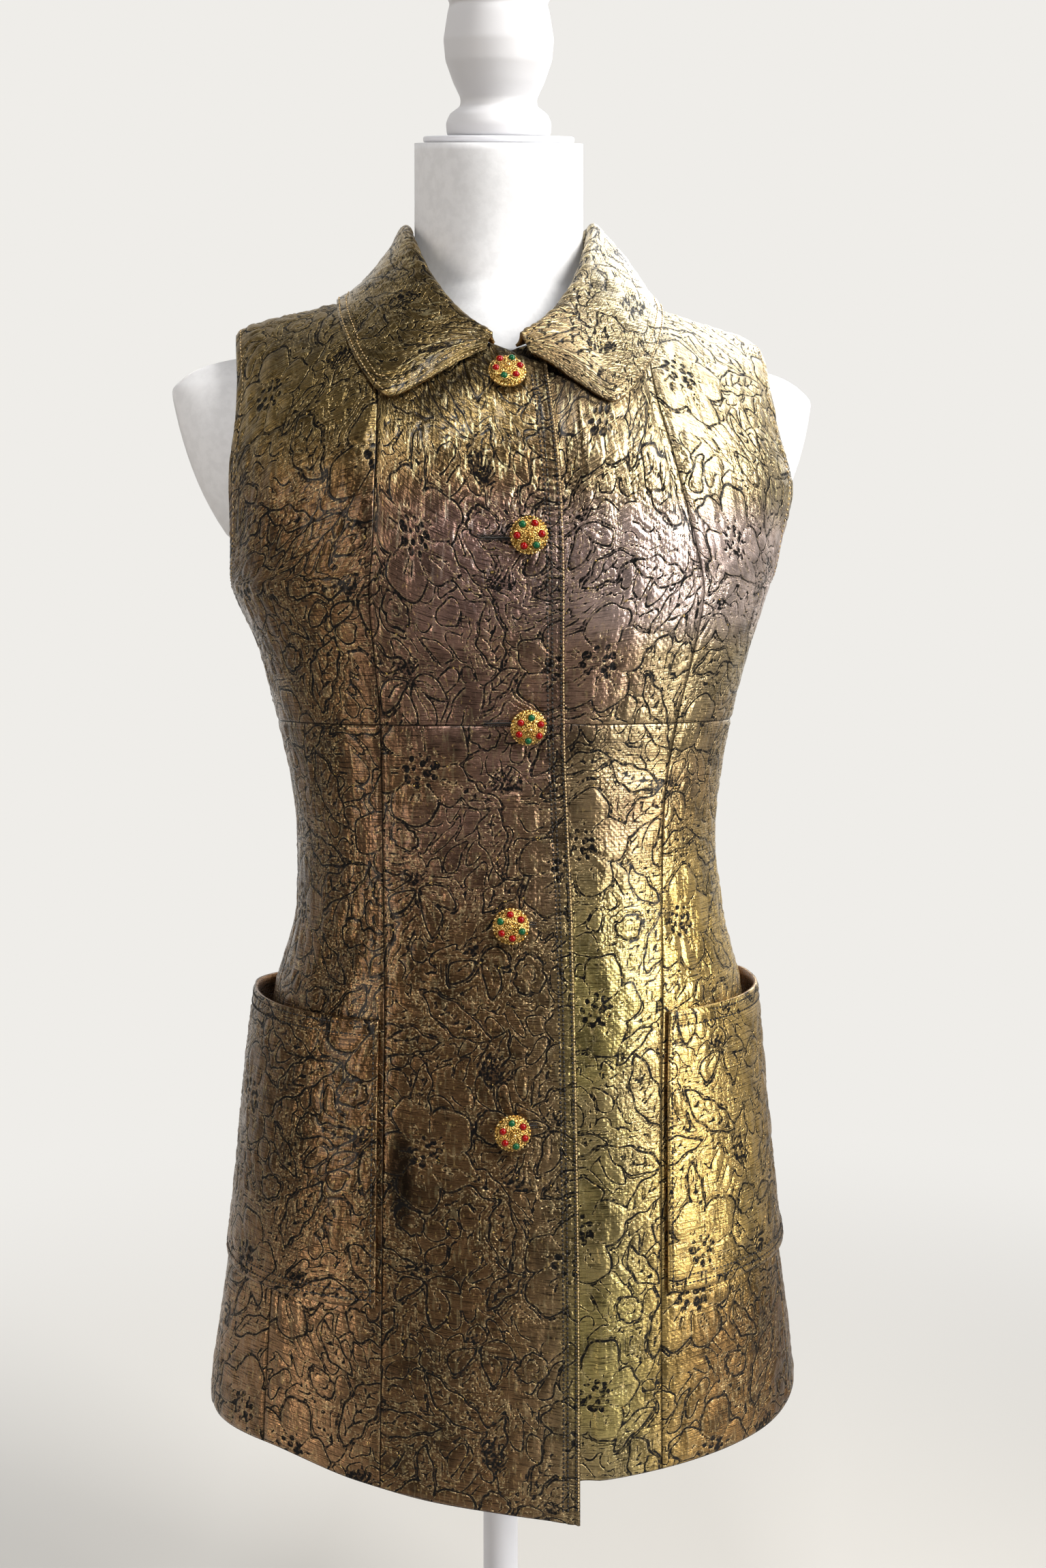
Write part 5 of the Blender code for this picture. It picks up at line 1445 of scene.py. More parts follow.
def sewn(name, rows, pitch, length, width, thread):
    """Rows of one kind of stitch along paths."""
    settings = {"Pitch": pitch, "Stitch length": length, "Stitch width": width, "Material": thread}
    obj = grown(name, path_mesh(f"{name}_rows", rows), sewing, settings)
    print(obj.name, len(obj.data.polygons), "faces")
    return obj


# Gilt thread is silk wound with metal, so it glints; plain silk stays dark and dull
sewing = stitch_tree()
gilt_thread = new_material("gilt_sewing_thread", "BFA57A", 0.36, 0.60)
dark_thread = new_material("dark_silk_thread", "17120D", 0.60, 0.10)

# %% rows of sewing on the front edge, armholes, collar and pockets
def along_face(points):
    """Places on the garment's face from pairs of angle and height."""
    angles, heights = np.array([p[0] for p in points]), np.array([p[1] for p in points])
    return garment_frame(angles, heights)[0]


def lifted_to(names, points, rise):
    """Points moved onto the finished cloth and a little above it."""
    trees = []
    for name in names:
        mesh = cloth_pieces[name][0].data
        verts = [v.co.copy() for v in mesh.vertices]
        trees.append(BVHTree.FromPolygons(verts, [list(f.vertices) for f in mesh.polygons]))
    result = []
    for point in points:
        found = [tree.find_nearest(Vector(point), 0.02) for tree in trees]
        found = [f for f in found if f[3] is not None]
        near, normal, _, _ = min(found, key=lambda f: f[3])
        outward = Vector((point[0], point[1], 0.0)).normalized()
        if normal.dot(outward) < 0 and abs(normal.z) < 0.8:
            normal = -normal
        result.append(near + normal * rise)
    return result


def lap_row(inside, low, high):
    zs = np.linspace(low, high, 240)
    xs = read(LAP_EDGE, LAP_COLUMNS, "edge", zs) - inside
    here, out = garment_frame(angle_at(xs, zs), zs)
    return here + out * (LAP_LIFT + 0.0012)


# How far from its edge each row lies: the whipped edge first, then the rows of the band
LAP_ROWS = (0.0010, 0.0030, 0.0075, 0.0092)
ARMHOLE_ROW = 0.0062
front_names = ["right_centre_front_upper", "right_centre_front_lower"]
lap_rows = [lifted_to(front_names, lap_row(inside, 0.275, 0.912), 0.0001) for inside in LAP_ROWS]
edge_stitching = sewn("front_edge_stitching", lap_rows[:1], 0.0018, 0.0017, 0.0010, gilt_thread)
lap_stitching = sewn("front_band_stitching", lap_rows[1:], 0.0026, 0.0022, 0.0014, dark_thread)

armhole_rows = []
for side, word in ((-1, "right"), (1, "left")):
    for part, turn_in in (("front", -1), ("back", 1)):
        zs = np.linspace(0.806, 0.958, 90)
        degrees = read(ARMHOLE, ARMHOLE_COLUMNS, part, zs)
        inward = ARMHOLE_ROW / CREASE_RADIUS * turn_in
        points = along_face([(math.radians(side * d) + side * inward, z) for d, z in zip(degrees, zs)])
        armhole_rows.append(lifted_to([f"{word}_side_{part}_upper"], points, 0.0002))
armhole_stitching = sewn("armhole_stitching", armhole_rows, 0.0032, 0.0024, 0.0008, gilt_thread)

pocket_rows = []
for word, (grid, out, lift) in pocket_faces.items():
    surface = grid + out * (lift + 0.0003)[..., None]
    up_places = cloth_places(grid)[1][:, 0]
    for height in (0.0040, 0.0085, up_places[-1] - BAND, up_places[-1] - 0.0035):
        row = int(np.argmin(np.abs(up_places - height)))
        pocket_rows.append(surface[row, 2:-2:3])
    inner_column = 2 if word == "left" else -3
    pocket_rows.append(surface[3:-3:3, inner_column])
pocket_stitching = sewn("pocket_stitching", pocket_rows, 0.0028, 0.0023, 0.0012, dark_thread)

collar_rows = []
collar_top = collar_grid + collar_out * (COLLAR_WALL / 2 + 0.0003)
from_edge = np.linalg.norm(collar_grid - collar_grid[-1:], axis=-1)
for inside in COLLAR_ROWS:
    nearest = np.argmin(np.abs(from_edge - inside), axis=0)
    collar_rows.append([collar_top[nearest[i], i] for i in range(4, collar_grid.shape[1] - 4)])
collar_stitching = sewn("collar_stitching", collar_rows, 0.0028, 0.0021, 0.0008, gilt_thread)

# %% [markdown]
# The buttons are pressed metal domes with an antique gilt finish. A ring of granules edges each
# one, six glass stones sit in collets round a rosette, and fine wire scrolls fill the rest. One
# button is built flat on a plane, as a jeweller builds it on the bench, and the five on the
# garment are copies of it with their own turn and lean.

# %% shapes for the buttons
def spun(profile, segments):
    """A closed surface of turned rings; the first and last points lie on the axis."""
    angles = np.linspace(0, TAU, segments, endpoint=False)
    points, faces = [(0.0, 0.0, profile[0][1])], []
    for radius, height in profile[1:-1]:
        points += [(radius * math.cos(a), radius * math.sin(a), height) for a in angles]
    points.append((0.0, 0.0, profile[-1][1]))
    rings = len(profile) - 2
    for i in range(segments):
        j = (i + 1) % segments
        faces.append((0, 1 + i, 1 + j))
        for r in range(rings - 1):
            a, b = 1 + r * segments, 1 + (r + 1) * segments
            faces.append((a + i, b + i, b + j, a + j))
        last = 1 + (rings - 1) * segments
        faces.append((len(points) - 1, last + j, last + i))
    return np.array(points), faces


def ball_shape(radius, squash=1.0, rows=5, segments=8):
    profile = [(radius * math.sin(math.pi * r / rows), radius * squash * math.cos(math.pi * r / rows))
               for r in range(rows + 1)]
    return spun(profile, segments)


def tube_shape(path, radius, sides=5):
    """A round wire along a path of points, closed at both ends."""
    path = np.array(path)
    tangent = np.gradient(path, axis=0)
    tangent /= np.linalg.norm(tangent, axis=1, keepdims=True)
    across = np.cross(tangent, (0.0, 0.0, 1.0))
    across /= np.maximum(np.linalg.norm(across, axis=1, keepdims=True), 1e-9)
    above = np.cross(across, tangent)
    points, faces = [], []
    for here, a, b in zip(path, across, above):
        for k in range(sides):
            turn = TAU * k / sides
            points.append(here + radius * (a * math.cos(turn) + b * math.sin(turn)))
    for i in range(len(path) - 1):
        for k in range(sides):
            m = (k + 1) % sides
            faces.append((i * sides + k, i * sides + m, (i + 1) * sides + m, (i + 1) * sides + k))
    faces.append(tuple(range(sides - 1, -1, -1)))
    faces.append(tuple((len(path) - 1) * sides + k for k in range(sides)))
    return np.array(points), faces


DOME_RADIUS = 0.0098
DOME_RISE = 0.0050
DOME_FOOT = SHANK_LENGTH + 0.0014


def dome_height(far):
    """Height of the button's dome at a distance from its middle."""
    share = np.clip(np.asarray(far) / DOME_RADIUS, 0, 1)
    return float(DOME_FOOT + DOME_RISE * np.sqrt(np.maximum(1 - share**2, 0.0)))


def on_dome(far, turn, lift=0.0):
    """A place over the dome, at a distance and an angle from its middle."""
    return np.array((far * math.cos(turn), far * math.sin(turn), dome_height(far) + lift))


# %% one button on the bench
STONES = 6
STONE_RING = 0.0066
STONE_RADIUS = 0.00190
RIM_BEADS = 30
METAL, RED, GREEN, GROUND = range(4)
parts = []


def keep_part(shape, slot_number, place=(0.0, 0.0, 0.0)):
    points, faces = shape
    parts.append((points + np.array(place), faces, slot_number))


dome = [(0.0, dome_height(0.0))]
for a in np.linspace(0.14, 1.52, 12):
    dome.append((DOME_RADIUS * math.sin(a), dome_height(DOME_RADIUS * math.sin(a))))
dome += [(0.0101, DOME_FOOT), (0.0100, SHANK_LENGTH + 0.0005), (0.0092, SHANK_LENGTH),
         (SHANK_RADIUS, SHANK_LENGTH), (SHANK_RADIUS, 0.0), (0.0, 0.0)]
keep_part(spun(dome, 48), GROUND)
for k in range(RIM_BEADS):
    a = TAU * k / RIM_BEADS
    at = (0.0096 * math.cos(a), 0.0096 * math.sin(a), SHANK_LENGTH + 0.0017)
    keep_part(ball_shape(0.00098), METAL, at)
for k in range(STONES):
    at = on_dome(STONE_RING, TAU * k / STONES)
    stone = ball_shape(STONE_RADIUS, 0.75, 8, 16)
    keep_part(stone, GREEN if k in (1, 4) else RED, at + np.array((0.0, 0.0, 0.0004)))
    collet, halo = 1.14 * STONE_RADIUS, 1.42 * STONE_RADIUS
    ring = [at + np.array((collet * math.cos(t), collet * math.sin(t), 0.0001))
            for t in np.linspace(0, TAU, 17)]
    keep_part(tube_shape(ring, 0.00034), METAL)
    for m in range(12):
        t = TAU * m / 12
        grain = at + np.array((halo * math.cos(t), halo * math.sin(t), -0.0003))
        far = math.hypot(grain[0], grain[1])
        if far < 0.0090:
            grain[2] = dome_height(far) + 0.0001
            keep_part(ball_shape(0.00036, 1.0, 4, 6), METAL, grain)
    between = TAU * (k + 0.5) / STONES
    curl = [on_dome(0.0034 + 0.0048 * t, between + 0.26 * math.sin(TAU * t), 0.0002)
            for t in np.linspace(0, 1, 12)]
    keep_part(tube_shape(curl, 0.00028, 4), METAL)
    for far, radius in ((0.0076, 0.00060), (0.0050, 0.00048)):
        keep_part(ball_shape(radius), METAL, on_dome(far, between, 0.0002))
for ring_radius, count, grain in ((0.0029, 12, 0.00046), (0.0018, 8, 0.00042)):
    for k in range(count):
        place = on_dome(ring_radius, TAU * (k + 0.5) / count, 0.0002)
        keep_part(ball_shape(grain, 1.0, 4, 6), METAL, place)
keep_part(ball_shape(0.0014, 1.0, 8, 14), METAL, on_dome(0.0, 0.0, 0.0004))

button_points = np.concatenate([p for p, _, _ in parts])
button_faces, button_slots, first = [], [], 0
for points, faces, slot_number in parts:
    button_faces += [tuple(first + i for i in face) for face in faces]
    button_slots += [slot_number] * len(faces)
    first += len(points)
print("one button has", len(button_faces), "faces")

# %% [markdown]
# Antique gilt is a warm metal, bright where it is rubbed and darker and duller where tarnish
# stays. The export doesn't keep the sharpness of edges as a mask, so a fine noise in the colour
# and the gloss stands for the tarnish. The ground between the wires is a darker metal with
# grains of 0.9 mm. The stones are polished coloured glass: a deep colour, a low roughness and
# a lower specular level, so that the pale room doesn't wash their colour out.

# %% finishes of the buttons
TARNISH_SCALE = 620.0
GRAIN_SIZE = 0.0009

gilt = new_material("antique_gilt_metal", "EBC67C", 0.24, 1.0)
where = add(gilt, "ShaderNodeTexCoord", out="Object")
tarnish = add(gilt, "noise", where, TARNISH_SCALE, 3.0)
feed(gilt, Base_Color=add(gilt, "mix", add(gilt, "step", tarnish, 0.38, 0.62), "A87B32", "F3D48C"),
     Roughness=add(gilt, "step", tarnish, 0.35, 0.65, 0.40, 0.20))
tarnished = new_material("tarnished_gilt_ground", "A87A33", 0.36, 1.0)
where = add(tarnished, "ShaderNodeTexCoord", out="Object")
grains = add(tarnished, "cells", where, 1 / GRAIN_SIZE)
tone = add(tarnished, "mix", add(tarnished, "step", grains, 0.30, 0.62), "E8C676", "6E4E1E")
feed(tarnished, Base_Color=tone,
     Normal=add(tarnished, "bump", add(tarnished, "times", grains, -1.0), 0.8, 0.0004))
red_glass = new_material("red_glass", "7E0504", 0.09, 0.0, IOR=1.52, Specular_IOR_Level=0.25)
green_glass = new_material("green_glass", "0F4A2A", 0.09, 0.0, IOR=1.52, Specular_IOR_Level=0.25)

# %% the five buttons in place
BUTTON_TURNS = (8.0, 64.0, 25.0, 95.0, 40.0)
button_objects = []
for number, (x, z, lean_side, lean_up) in enumerate(BUTTONS, start=1):
    here, out = garment_frame(angle_at(np.array(x), np.array(z)), np.array(z))
    out = Vector(out)
    side_way = Vector((0, 0, 1)).cross(out).normalized()
    upward = out.cross(side_way)
    face = out + side_way * math.tan(math.radians(lean_side)) + upward * math.tan(math.radians(lean_up))
    foot = Vector(here) + out * (BUTTON_CLEAR + SHANK_RADIUS * math.sin(math.radians(BUTTON_TILT)))
    turn = face.to_track_quat("Z", "Y").to_matrix().to_4x4()
    spin = Matrix.Rotation(math.radians(BUTTON_TURNS[number - 1]), 4, "Z")
    whole = np.array(Matrix.Translation(foot) @ turn @ spin)
    placed = button_points @ whole[:3, :3].T + whole[:3, 3]
    finishes = (gilt, red_glass, green_glass, tarnished)
    obj = shown(f"button_{number}_filigree", placed.tolist(), button_faces, finishes)
    obj.data.polygons.foreach_set("material_index", button_slots)
    button_objects.append(obj)


# %% [markdown]
# Each button sits in a keyhole buttonhole of the lapping front. What shows of one is a dark slit
# beside the button with a whipped edge on both sides, so a slim dark lens, painted shade that
# stands for the shadowed opening, and two rows of close stitches are enough. The buttons stay
# fastened, so the holes needn't be cut through.

# %% buttonholes
SLITS = ((-0.0240, -0.0050, 0.8243), (-0.0190, -0.0010, 0.7238), (-0.0040, 0.0105, 0.6100),
         (-0.0050, 0.0100, 0.4975))
slit_points, slit_faces, whipped = [], [], []
for left_end, right_end, z in SLITS:
    xs = np.linspace(left_end, right_end, 15)
    zs = np.full(15, z)
    here, out = garment_frame(angle_at(xs, zs), zs)
    on_cloth = np.array([tuple(v) for v in lifted_to(front_names, here + out * 0.001, 0.00005)])
    width = 0.00075 * np.sqrt(np.clip(1 - np.linspace(-1, 1, 15) ** 2, 0.02, 1))
    first = len(slit_points)
    for middle, half in zip(on_cloth, width):
        for up_share, out_share in ((-1, 0), (0, 0.5), (1, 0), (0, -0.5)):
            edge = np.array((0, 0, half * up_share)) + out[0] * half * out_share
            slit_points.append(tuple(middle + edge))
    for i in range(14):
        for k in range(4):
            a, b = first + 4 * i, first + 4 * (i + 1)
            slit_faces.append((a + k, b + k, b + (k + 1) % 4, a + (k + 1) % 4))
    slit_faces.append((first + 3, first + 2, first + 1, first))
    slit_faces.append(tuple(first + 56 + k for k in range(4)))
    for side_of in (-1, 1):
        whipped.append(on_cloth + out * 0.0002 + np.array((0, 0, 0.00125 * side_of)))
# The slim dark lenses are painted shade in the slits' openings
slits = shown("buttonhole_slit_shade", slit_points, slit_faces, [dark_thread], smooth=False)
whipping = sewn("buttonhole_whipping", whipped, 0.0010, 0.0011, 0.0009, dark_thread)
print("buttonholes:", len(SLITS))

# %% [markdown]
# Under the cloth is the dress form. Its tables give the torso, the rounded shoulder caps and the
# leaning neck, and one ring at a height is the outermost of the three.

# %% sizes of the form and its stand

# The torso form: its own sections, shoulder caps, neck and rounded foot
FORM_COLUMNS = ("z", "half", "front", "back")
FORM_SECTIONS = (
    (0.395, 0.150, 0.107, 0.108),
    (0.450, 0.146, 0.104, 0.106),
    (0.500, 0.138, 0.099, 0.102),
    (0.550, 0.125, 0.093, 0.094),
    (0.600, 0.113, 0.088, 0.084),
    (0.655, 0.110, 0.084, 0.077),
    (0.7225, 0.120, 0.088, 0.077),
    (0.767, 0.131, 0.097, 0.084),
    (0.802, 0.142, 0.105, 0.092),
    (0.860, 0.149, 0.105, 0.097),
    (0.900, 0.147, 0.098, 0.095),
    (0.950, 0.142, 0.088, 0.087),
    (1.000, 0.140, 0.083, 0.083),
)
FORM_SQUARE = 2.2
FORM_BLEND = 20.0
SEAT_X = 0.105
SEAT_GAP = 0.0018
SEAT_FALL_OUT = 6.0
SEAT_FALL_IN = 4.0
CAP_COLUMNS = ("z", "reach", "depth")
CAP_SECTIONS = (
    (0.8110, 0.120, 0.026),
    (0.8300, 0.161, 0.040),
    (0.8450, 0.172, 0.044),
    (0.8650, 0.182, 0.047),
    (0.8850, 0.189, 0.048),
    (0.9050, 0.194, 0.041),
    (0.9180, 0.196, 0.033),
    (0.9255, 0.190, 0.028),
    (0.9310, 0.182, 0.024),
    (0.9350, 0.171, 0.020),
    (0.9380, 0.156, 0.017),
)
CAP_POWER = 4.0
NECK_COLUMNS = ("z", "half", "front", "back")
NECK_SECTIONS = (
    (0.9300, 0.0600, 0.0800, 0.0600),
    (0.9450, 0.0570, 0.0720, 0.0580),
    (0.9550, 0.0550, 0.0660, 0.0570),
    (0.9650, 0.0530, 0.0600, 0.0545),
    (0.9800, 0.0515, 0.0550, 0.0525),
    (1.0000, 0.0508, 0.0530, 0.0515),
    (1.0700, 0.0495, 0.0515, 0.0505),
)
NECK_LEAN = 0.24
NECK_LEAN_FROM_Z = 0.975
LEAN_TOWARDS = -5.7
FORM_BOTTOM_Z = 0.392
FORM_FOOT = 0.045
FORM_TOP_Z = 1.062
FORM_QUARTER = (0, 16, 31, 45, 57, 67, 74.5, 80, 84, 87.5)

# What stands on the neck and what carries the form
PLATE_LEAN = 17.0
PLATE_RADIUS = 0.0445
PLATE_THICKNESS = 0.0035
PLATE_BEVEL = 0.0008
POLE_RADIUS = 0.0112
PART_GAP = 0.0003
BASE_PROFILE = (
    (0.0000, 0.0340),
    (0.0150, 0.0340),
    (0.0185, 0.0300),
    (0.0200, 0.0200),
    (0.0300, 0.0160),
    (0.1480, 0.0130),
    (0.1570, 0.0105),
    (0.1600, 0.0050),
    (0.1590, 0.0000),
    (0.0000, 0.0000),
)
FINIAL_PROFILE = (
    (0.0000, 0.0960),
    (0.0080, 0.0945),
    (0.0165, 0.0890),
    (0.0285, 0.0765),
    (0.0302, 0.0735),
    (0.0278, 0.0695),
    (0.0292, 0.0650),
    (0.0318, 0.0510),
    (0.0308, 0.0400),
    (0.0265, 0.0285),
    (0.0222, 0.0200),
    (0.0225, 0.0160),
    (0.0285, 0.0120),
    (0.0310, 0.0070),
    (0.0305, 0.0000),
    (0.0000, 0.0000),
)


# %% the form's rings

def form_ridge(x):
    """The form's own shoulder line: it carries the cloth at one place on each side."""
    past = np.maximum(np.abs(x) - SEAT_X, 0.0)
    before = np.maximum(SEAT_X - np.abs(x), 0.0)
    straight = RIDGE_AT_CENTRE_Z - RIDGE_FALL * np.abs(x)
    return straight - WALL - SEAT_GAP - SEAT_FALL_OUT * past**2 - SEAT_FALL_IN * before**2


def neck_middle(z):
    """The neck leans forward above the shoulders."""
    lean = NECK_LEAN * max(z - NECK_LEAN_FROM_Z, 0.0)
    towards = math.radians(LEAN_TOWARDS)
    return lean * math.sin(towards), -lean * math.cos(towards)


def last_inside(inside_measure, reach):
    """Along each ray, the farthest place where a shape's measure is still below 1."""
    inside = inside_measure < 1.0
    last = inside.shape[1] - 1 - np.argmax(inside[:, ::-1], axis=1)
    found = inside.any(axis=1)
    last = np.minimum(last, inside.shape[1] - 2)
    here = inside_measure[np.arange(len(last)), last]
    beyond = inside_measure[np.arange(len(last)), last + 1]
    share = np.clip((1 - here) / np.maximum(beyond - here, 1e-9), 0, 1)
    return np.where(found, reach[last] + share * (reach[1] - reach[0]), 0.0)


def form_ring(z, angles):
    """Radius of the torso form at a height: torso, shoulder caps and neck in one."""
    reach = np.linspace(0, 0.22, 441)
    x = np.sin(angles)[:, None] * reach
    y = -np.cos(angles)[:, None] * reach
    half = read(FORM_SECTIONS, FORM_COLUMNS, "half", z)
    front = read(FORM_SECTIONS, FORM_COLUMNS, "front", z)
    back = read(FORM_SECTIONS, FORM_COLUMNS, "back", z)
    ridge = form_ridge(x)
    depth = np.where(y < 0, front, back) * roll_over(x, z, ridge)
    torso = np.abs(x / half) ** FORM_SQUARE + np.abs(y / np.maximum(depth, 1e-6)) ** FORM_SQUARE
    radii = [last_inside(np.where(ridge > z, torso, 9.0), reach)]
    if CAP_SECTIONS[0][0] < z < CAP_SECTIONS[-1][0]:
        cap_reach = read(CAP_SECTIONS, CAP_COLUMNS, "reach", z)
        cap_depth = read(CAP_SECTIONS, CAP_COLUMNS, "depth", z)
        cap = (np.abs(x) / cap_reach) ** CAP_POWER + (y / cap_depth) ** 2
        radii.append(last_inside(cap, reach))
    if z > NECK_SECTIONS[0][0]:
        neck_half = read(NECK_SECTIONS, NECK_COLUMNS, "half", z)
        neck_front = read(NECK_SECTIONS, NECK_COLUMNS, "front", z)
        neck_back = read(NECK_SECTIONS, NECK_COLUMNS, "back", z)
        middle_x, middle_y = neck_middle(z)
        neck_depth = np.where(y < middle_y, neck_front, neck_back)
        neck = ((x - middle_x) / neck_half) ** 2 + ((y - middle_y) / neck_depth) ** 2
        radii.append(last_inside(neck, reach))
    return sum(r**FORM_BLEND for r in radii) ** (1 / FORM_BLEND)

# %% [markdown]
# The form is a padded torso covered in white jersey with a short nap. It is drawn as rings from
# the same sizes as the solid, only closer together, so that it is smooth in every view.

# %% the fine form
def form_rings():
    foot = FORM_BOTTOM_Z + FORM_FOOT * (1 - np.cos(np.radians(np.linspace(0, 74, 14))))
    body = np.linspace(0.440, 0.905, 60)
    shoulder = np.linspace(0.909, 0.976, 46)
    neck = np.linspace(0.979, FORM_TOP_Z, 22)
    return np.concatenate([foot, body, shoulder, neck])


def fine_form():
    quarter = np.interp(np.linspace(0, 9, 28), np.arange(10), np.array(FORM_QUARTER))
    half_turn = np.concatenate([quarter, [90.0], 180 - quarter[::-1][:-1]])
    angles = np.radians(np.concatenate([half_turn, 180 + half_turn]))
    lean = math.tan(math.radians(PLATE_LEAN))
    towards = math.radians(LEAN_TOWARDS)
    rings = []
    for z in form_rings():
        radius = form_ring(z, angles)
        below = max(FORM_BOTTOM_Z + FORM_FOOT - z, 0.0) / FORM_FOOT
        radius = radius * (0.55 + 0.45 * math.sqrt(max(1 - below**2, 0.0)))
        tilt = lean * float(ease((z - 0.995) / (FORM_TOP_Z - 0.995)))
        middle_x, middle_y = neck_middle(z)
        x, y = radius * np.sin(angles), -radius * np.cos(angles)
        behind = (x - middle_x) * -math.sin(towards) + (y - middle_y) * math.cos(towards)
        rings.append(np.stack([x, y, z + tilt * behind], axis=-1))
    count = len(angles)
    points = np.concatenate(rings)
    faces = []
    for r in range(len(rings) - 1):
        for i in range(count):
            j = (i + 1) % count
            faces.append((r * count + i, r * count + j, (r + 1) * count + j, (r + 1) * count + i))
    faces.append(tuple(range(count - 1, -1, -1)))
    last = (len(rings) - 1) * count
    faces.append(tuple(range(last, last + count)))
    return shown("form_jersey", points.tolist(), faces)


# Napped cotton jersey: nearly matt, with a soft sheen at its edges and a faint mottle
form_object = fine_form()
jersey = new_material("white_napped_jersey", "C1C2C6", 0.92, 0.0, Sheen_Weight=0.35, Sheen_Roughness=0.5)
where = add(jersey, "ShaderNodeTexCoord", out="Object")
mottle = add(jersey, "noise", where, 160.0, 4.0, 0.6)
cloudy = add(jersey, "noise", where, 22.0, 3.0)
colour = add(jersey, "mix", add(jersey, "step", mottle, 0.36, 0.62), "D4D5D8", "DCDDE0")
colour = add(jersey, "mix", add(jersey, "step", cloudy, 0.35, 0.65, 0.0, 0.12), colour, "CECFD2")
feed(jersey, Base_Color=colour, Normal=add(jersey, "bump", mottle, 0.25, 0.0006))
form_object.data.materials.append(jersey)
print("the form has", len(form_object.data.polygons), "faces")

# %% [markdown]
# The neck ends in a white enamelled plate with a turned wooden finial. Below, the form stands on
# a steel pole with a round base. All are turned pieces: a profile spun about its own axis.

# %% plate, finial, pole and base
def neck_frame(height):
    """A place on the leaning axis through the neck's top, and the turn that goes with it."""
    middle_x, middle_y = neck_middle(FORM_TOP_Z)
    foot = Matrix.Translation((middle_x, middle_y, FORM_TOP_Z))
    turn = Matrix.Rotation(math.radians(LEAN_TOWARDS), 4, "Z")
    lean = Matrix.Rotation(math.radians(PLATE_LEAN), 4, "X")
    return foot @ turn @ lean @ Matrix.Translation((0.0, 0.0, height))


def turned_piece(name, profile, material, frame_matrix=None, segments=96, rounding=0.0006):
    """A profile from the top to the foot, rounded at its corners and spun."""
    rounded = [profile[0]]
    for before, here, after in zip(profile, profile[1:], profile[2:]):
        here, before, after = (np.array(p, dtype=float) for p in (here, before, after))
        a, b = before - here, after - here
        cut = min(rounding, 0.4 * np.linalg.norm(a), 0.4 * np.linalg.norm(b))
        start = here + a / np.linalg.norm(a) * cut
        end = here + b / np.linalg.norm(b) * cut
        for t in (0.0, 0.33, 0.67, 1.0):
            rounded.append(tuple((1 - t) ** 2 * start + 2 * t * (1 - t) * here + t * t * end))
    rounded.append(profile[-1])
    points, faces = spun(rounded, segments)
    whole = np.array(frame_matrix) if frame_matrix is not None else np.eye(4)
    placed = points @ whole[:3, :3].T + whole[:3, 3]
    return shown(name, placed.tolist(), faces, [material])


# Baked enamel on steel is even and half glossy; brushed paint on wood keeps faint strokes
enamel = new_material("white_enamel", "CFD0D6", 0.38, 0.0, IOR=1.50)
paint = new_material("white_painted_wood", "C9C9CC", 0.48, 0.0, IOR=1.50)
brushed = add(paint, "noise", add(paint, "ShaderNodeTexCoord", out="Object"), 90.0, 3.0)
feed(paint, Normal=add(paint, "bump", brushed, 0.15, 0.0004))

inset = PLATE_RADIUS - PLATE_BEVEL
plate_profile = ((0.0, PLATE_THICKNESS), (inset, PLATE_THICKNESS),
                 (PLATE_RADIUS, PLATE_THICKNESS - PLATE_BEVEL), (PLATE_RADIUS, PLATE_BEVEL),
                 (inset, 0.0), (0.0, 0.0))
hub_top = BASE_PROFILE[0][1] + PART_GAP
pole_top = FORM_BOTTOM_Z - PART_GAP
pole_profile = ((0.0, pole_top), (POLE_RADIUS, pole_top), (POLE_RADIUS, hub_top), (0.0, hub_top))
stand_pieces = {
    "neck_plate": turned_piece("neck_plate_enamel", plate_profile, enamel, neck_frame(PART_GAP)),
    "finial": turned_piece("finial_turned", FINIAL_PROFILE, paint,
                           neck_frame(2 * PART_GAP + PLATE_THICKNESS), rounding=0.0016),
    "pole": turned_piece("pole_enamel", pole_profile, enamel),
    "base": turned_piece("base_enamel", BASE_PROFILE, enamel, rounding=0.0025),
}
print("stand pieces:", ", ".join(stand_pieces))


# %% [markdown]
# A plain pale floor, soft light mostly from the viewer's right as in the photograph, a weak
# fill from the left, and a camera at the photograph's viewing angle: about chest height, a
# little to the wearer's right and tipped down a few degrees. The world and the far floor show
# one pale backdrop to the camera alone, so that the backdrop doesn't light the object.

# %% floor, light and world
PALE = "EFEDE9"
pale = new_material("pale_floor", "C0BEBA", 0.85)
corners = [(-4, -4, 0), (4, -4, 0), (4, 4, 0), (-4, 4, 0)]
floor = shown("floor", corners, [(0, 1, 2, 3)], [pale], smooth=False)
from_pole = add(pale, "ShaderNodeVectorMath", add(pale, "ShaderNodeTexCoord", out="Object"), out="Value",
                operation="LENGTH")
seen = add(pale, "ShaderNodeLightPath", out="Is Camera Ray")
far_off = add(pale, "times", add(pale, "step", from_pole, 0.30, 1.50), seen)
plain = pale.node_tree.nodes["Principled BSDF"].outputs[0]
both = add(pale, "ShaderNodeMixShader", far_off, plain, add(pale, "ShaderNodeEmission", PALE))
pale.node_tree.links.new(both, pale.node_tree.nodes["Material Output"].inputs["Surface"])


def soft_light(name, place, target, size, watts, colour="FFFFFF", tall=None):
    light = bpy.data.lights.new(name, "AREA")
    light.shape = "RECTANGLE"
    light.size, light.size_y = size, tall or size
    light.spread = math.radians(100)
    light.energy = watts
    light.color = linear(colour)
    obj = bpy.data.objects.new(name, light)
    obj.location = place
    obj.rotation_euler = (Vector(target) - Vector(place)).to_track_quat("-Z", "Y").to_euler()
    bpy.context.scene.collection.objects.link(obj)
    return obj


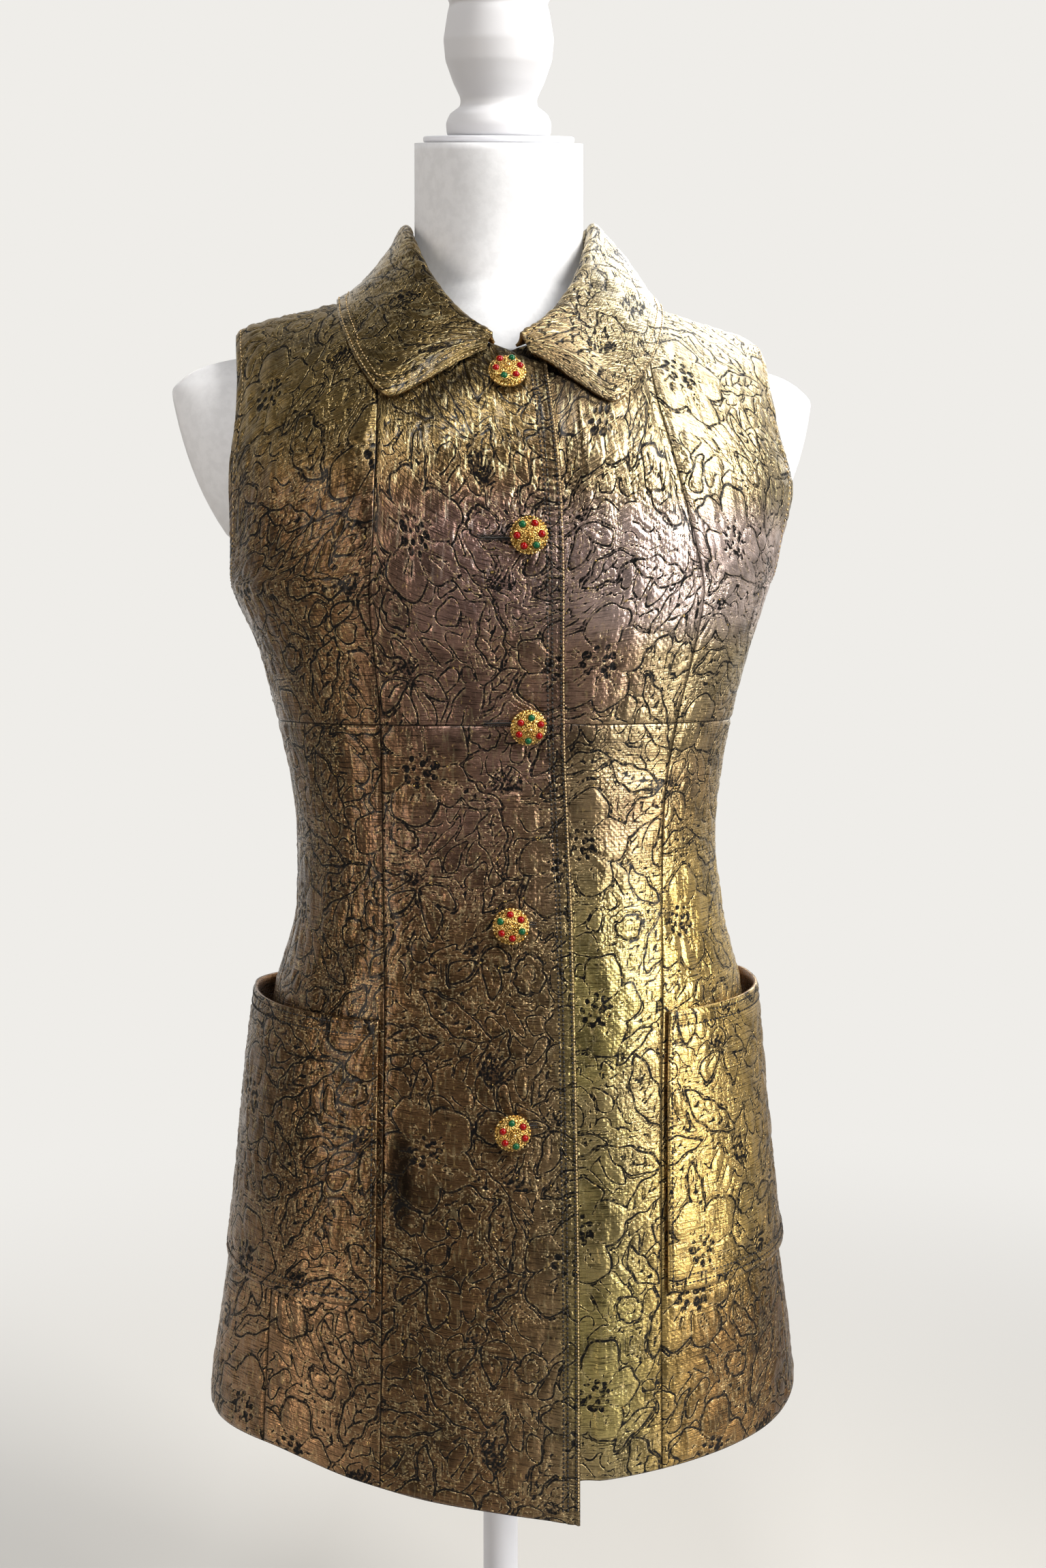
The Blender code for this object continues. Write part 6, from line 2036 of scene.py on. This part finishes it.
middle = (0.0, 0.0, 0.72)
lights = [
    soft_light("window", (1.25, -0.95, 1.42), middle, 0.50, 22.0, "FFFCF7", 1.80),
    soft_light("left_window", (-1.25, -0.95, 0.75), middle, 0.35, 2.4, "FFF3E6", 1.0),
    soft_light("front_top", (-0.20, -1.30, 2.10), middle, 0.40, 4.4),
    soft_light("rim", (0.9, 1.4, 1.5), middle, 0.9, 4.0),
    soft_light("high_right", (0.75, 0.45, 1.95), (0.02, -0.05, 1.0), 0.7, 3.2),
    soft_light("far_floor", (0.0, 2.3, 2.4), (0.0, 2.6, 0.0), 2.6, 38.0),
]
world = bpy.data.worlds.new("pale_room")
bpy.context.scene.world = world
world.use_nodes = True
sky = world.node_tree.nodes["Background"]
sky.inputs["Strength"].default_value = 1.0
_, y, z = add(world, "parts", add(world, "ShaderNodeTexCoord", out="Generated")).node.outputs
toward = add(world, "ShaderNodeMath", z, -0.6, y, operation="MULTIPLY_ADD")
shade = add(world, "mix", add(world, "step", toward, -0.45, 0.40), "3A3836", PALE)
seen = add(world, "ShaderNodeLightPath", out="Is Camera Ray")
world.node_tree.links.new(add(world, "mix", seen, shade, PALE), sky.inputs["Color"])
bpy.context.scene.view_settings.view_transform = "Standard"
print("lights:", ", ".join(light.name for light in lights))

# %% the camera
# The picture is 1535 pixels wide. The pole stands at column 733, a little left of its middle.
LENS, SENSOR = 35.0, 36.0
FOCAL_PIXELS, POLE_COLUMN, MIDDLE_COLUMN = 2238.0, 733.0, 767.5
DISTANCE, CAMERA_Z = 0.95, 0.764
AROUND, TIPPED = math.radians(-5.7), math.radians(5.0)

heading = -AROUND + math.atan((MIDDLE_COLUMN - POLE_COLUMN) / FOCAL_PIXELS)
level = math.cos(TIPPED)
ahead = Vector((level * math.sin(heading), level * math.cos(heading), -math.sin(TIPPED)))
camera_data = bpy.data.cameras.new("camera")
camera_data.lens = LENS
camera_data.sensor_width = SENSOR
camera_data.sensor_height = SENSOR
camera_data.sensor_fit = "AUTO"
camera = bpy.data.objects.new("camera", camera_data)
camera.location = (DISTANCE * math.sin(AROUND), -DISTANCE * math.cos(AROUND), CAMERA_Z)
camera.rotation_euler = ahead.to_track_quat("-Z", "Y").to_euler()
bpy.context.scene.collection.objects.link(camera)
bpy.context.scene.camera = camera
print("camera", round(DISTANCE, 2), "m from the pole, at height", CAMERA_Z)

# %% [markdown]
# Last, each piece that stands for a solid hides that solid, and every piece is attached to the
# root body. Nothing here moves: the buttons stay fastened, so all rides on the root.

# %% what each piece stands for
for node, (obj, flat, area) in cloth_pieces.items():
    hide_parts(node)
    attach(obj, "root")
for obj in (edge_stitching, lap_stitching, armhole_stitching, pocket_stitching, collar_stitching,
            slits, whipping):
    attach(obj, "root")
for number, obj in enumerate(button_objects, start=1):
    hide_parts(f"button_{number}")
    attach(obj, "root")
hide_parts("form_torso")
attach(form_object, "root")
for node, obj in stand_pieces.items():
    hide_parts(node)
    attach(obj, "root")

# %% the cloth pieces, with nothing done to them
for node, (obj, flat, area) in cloth_pieces.items():
    if node == "collar":
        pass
    elif "pocket" in node:
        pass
    elif node.endswith("upper"):
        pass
    else:
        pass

# %% sizes and the end
triangles = sum(len(p.vertices) - 2 for o in bpy.data.objects if o.type == "MESH" and not o.hide_render
                for p in o.data.polygons)
print("triangles shown:", triangles)
